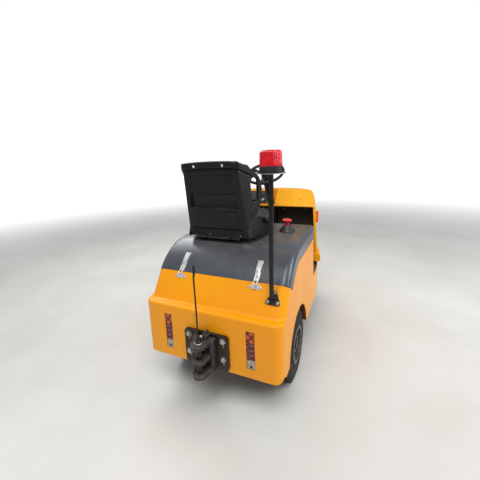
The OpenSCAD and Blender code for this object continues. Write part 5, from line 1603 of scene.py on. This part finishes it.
filler = spun([(15, 0), (15, 5), (13, 8), (9, 8), (8, 6.5), (1, 6.5)], 20)
filler_spots = [(place + CELL_TOP, UP, AHEAD, EVEN) for place, *_ in cell_spots]
add_piece("filler_caps", repeated(filler, filler_spots, stop_red, 3.0, 32), None, "chassis", "battery_steel")
lead_spots = []
for step, (place, *_) in enumerate(cell_spots):
    across = Vector((0.08 if step % 2 else -0.08, CELL_PITCH / 2000, 0))
    if step not in (5, 11):
        lead_spots.append((place + CELL_TOP + across, UP, AHEAD, EVEN))
bridge = block((9, 30, 0), (9, 30, 5))
add_piece("lead_bridges", repeated(bridge, lead_spots, zinc, 1.0, 33), None, "chassis", "battery_steel")

# Drive. An electric motor with rings of cooling fins lies along the tractor in front of
# the cast gear case on the rear axle. The case has a cover on each side, each held by
# eight zinc-plated bolts.
DRIVE_X = 70
fin_spots = [(at(DRIVE_X, y, 236.5), AHEAD, UP, EVEN) for y in range(510, 590, 9)]
fin = spun([(65.4, -1.5), (68.5, -1), (68.5, 1), (65.4, 1.5)], 48)
add_piece("motor_fins", repeated(fin, fin_spots, frame_paint), None, "chassis", "frame_paint")
case_spots = []
for i in range(8):
    turn = math.tau * (i + 0.5) / 8
    for side in (-1, 1):
        place = at(DRIVE_X + side * 50, ARCH_Y + 80 * math.cos(turn), ARCH_Z + 80 * math.sin(turn))
        case_spots.append((place, (side, 0, 0), UP, EVEN))
add_piece("gear_case_bolts", repeated(bolt(13, 7, 18, 2), case_spots, zinc, 3.0, 41), None, "chassis",
          "zinc_steel")

# Studio. A plain pale floor that fades to white, a soft key light from above and behind
# the camera, fill light from both sides, and the camera where the photograph was taken.
FLOOR_HALF = 30.0
CAMERA_PLACE = Vector((0.7760, -1.2089 + REAR_Y, 1.4056))
CAMERA_YAW, CAMERA_PITCH, CAMERA_ROLL = (math.radians(a) for a in (23.99, 10.33, 2.19))
CAMERA_FOCUS = 275.94
CAMERA_CENTRE = (240.5, 213.5)
PICTURE = 480

floor = bmesh.new()
bmesh.ops.create_grid(floor, x_segments=1, y_segments=1, size=FLOOR_HALF)
floor_mesh = bpy.data.meshes.new("floor")
floor.to_mesh(floor_mesh)
floor.free()
floor_obj = bpy.data.objects.new("floor", floor_mesh)
COLLECTION.objects.link(floor_obj)
floor_paint = bpy.data.materials.new("floor")
floor_paint.use_nodes = True
tree = floor_paint.node_tree
main = tree.nodes["Principled BSDF"]
spot = tree.nodes.new("ShaderNodeTexCoord").outputs["Object"]
far = tree.nodes.new("ShaderNodeVectorMath")
far.operation = "LENGTH"
tree.links.new(spot, far.inputs[0])
clean = ramp_node(tree, noise_node(tree, spot, 1.4, detail=6.0), 0.3, 0.7)
tint = mix_colour(tree, clean, srgb(214, 213, 207), srgb(224, 223, 219))
faded = ramp_node(tree, far.outputs["Value"], 3.5, 11.0)
tree.links.new(mix_colour(tree, faded, tint, (1.0, 1.0, 1.0, 1.0)), main.inputs["Base Color"])
main.inputs["Roughness"].default_value = 0.6
glow = math_node(tree, "MULTIPLY", ramp_node(tree, far.outputs["Value"], 3.0, 12.0),
                 tree.nodes.new("ShaderNodeLightPath").outputs["Is Camera Ray"])
main.inputs["Emission Color"].default_value = (1, 1, 1, 1)
tree.links.new(glow, main.inputs["Emission Strength"])
floor_mesh.materials.append(floor_paint)


def area_light(name, place, aim, size, power):
    lamp = bpy.data.lights.new(name, "AREA")
    lamp.shape = "RECTANGLE"
    lamp.size, lamp.size_y = size
    lamp.energy = power
    obj = bpy.data.objects.new(name, lamp)
    obj.location = place
    obj.rotation_euler = (Vector(aim) - Vector(place)).to_track_quat("-Z", "Y").to_euler()
    COLLECTION.objects.link(obj)


area_light("key", (0.9, -2.6, 4.6), (0, -0.2, 0.6), (3.2, 2.4), 150)
area_light("side", (4.2, 0.6, 2.6), (0, 0, 0.6), (2.6, 2.6), 95)
area_light("strip", (-2.6, 1.4, 3.4), (0, 0.1, 0.8), (2.8, 1.2), 75)

world = bpy.data.worlds.new("studio")
bpy.context.scene.world = world
world.use_nodes = True
sky = world.node_tree
soft = sky.nodes["Background"]
soft.inputs["Color"].default_value = (0.94, 0.96, 1.0, 1)
soft.inputs["Strength"].default_value = 0.36
white = sky.nodes.new("ShaderNodeBackground")
white.inputs["Color"].default_value = (1, 1, 1, 1)
white.inputs["Strength"].default_value = 1.0
seen = sky.nodes.new("ShaderNodeLightPath")
either = sky.nodes.new("ShaderNodeMixShader")
sky.links.new(seen.outputs["Is Camera Ray"], either.inputs["Fac"])
sky.links.new(soft.outputs[0], either.inputs[1])
sky.links.new(white.outputs[0], either.inputs[2])
sky.links.new(either.outputs[0], sky.nodes["World Output"].inputs["Surface"])


def camera_axes(yaw, pitch, roll):
    """Right, up and forward directions of the camera."""
    forward = Vector((-math.sin(yaw) * math.cos(pitch), math.cos(yaw) * math.cos(pitch), -math.sin(pitch)))
    right = Vector((math.cos(yaw), math.sin(yaw), 0))
    down = forward.cross(right)
    turned_right = right * math.cos(roll) + down * math.sin(roll)
    turned_down = down * math.cos(roll) - right * math.sin(roll)
    return turned_right, -turned_down, forward


camera = bpy.data.cameras.new("camera")
camera.sensor_width = 36
camera.lens = CAMERA_FOCUS * camera.sensor_width / PICTURE
camera.shift_x = (PICTURE / 2 - CAMERA_CENTRE[0]) / PICTURE
camera.shift_y = (CAMERA_CENTRE[1] - PICTURE / 2) / PICTURE
camera.clip_end = 100
camera_obj = bpy.data.objects.new("camera", camera)
COLLECTION.objects.link(camera_obj)
x_axis, y_axis, look = camera_axes(CAMERA_YAW, CAMERA_PITCH, CAMERA_ROLL)
camera_obj.matrix_world = Matrix((
    (x_axis.x, y_axis.x, -look.x, CAMERA_PLACE.x),
    (x_axis.y, y_axis.y, -look.y, CAMERA_PLACE.y),
    (x_axis.z, y_axis.z, -look.z, CAMERA_PLACE.z),
    (0, 0, 0, 1)))
bpy.context.scene.camera = camera_obj
bpy.context.scene.view_settings.view_transform = "Standard"
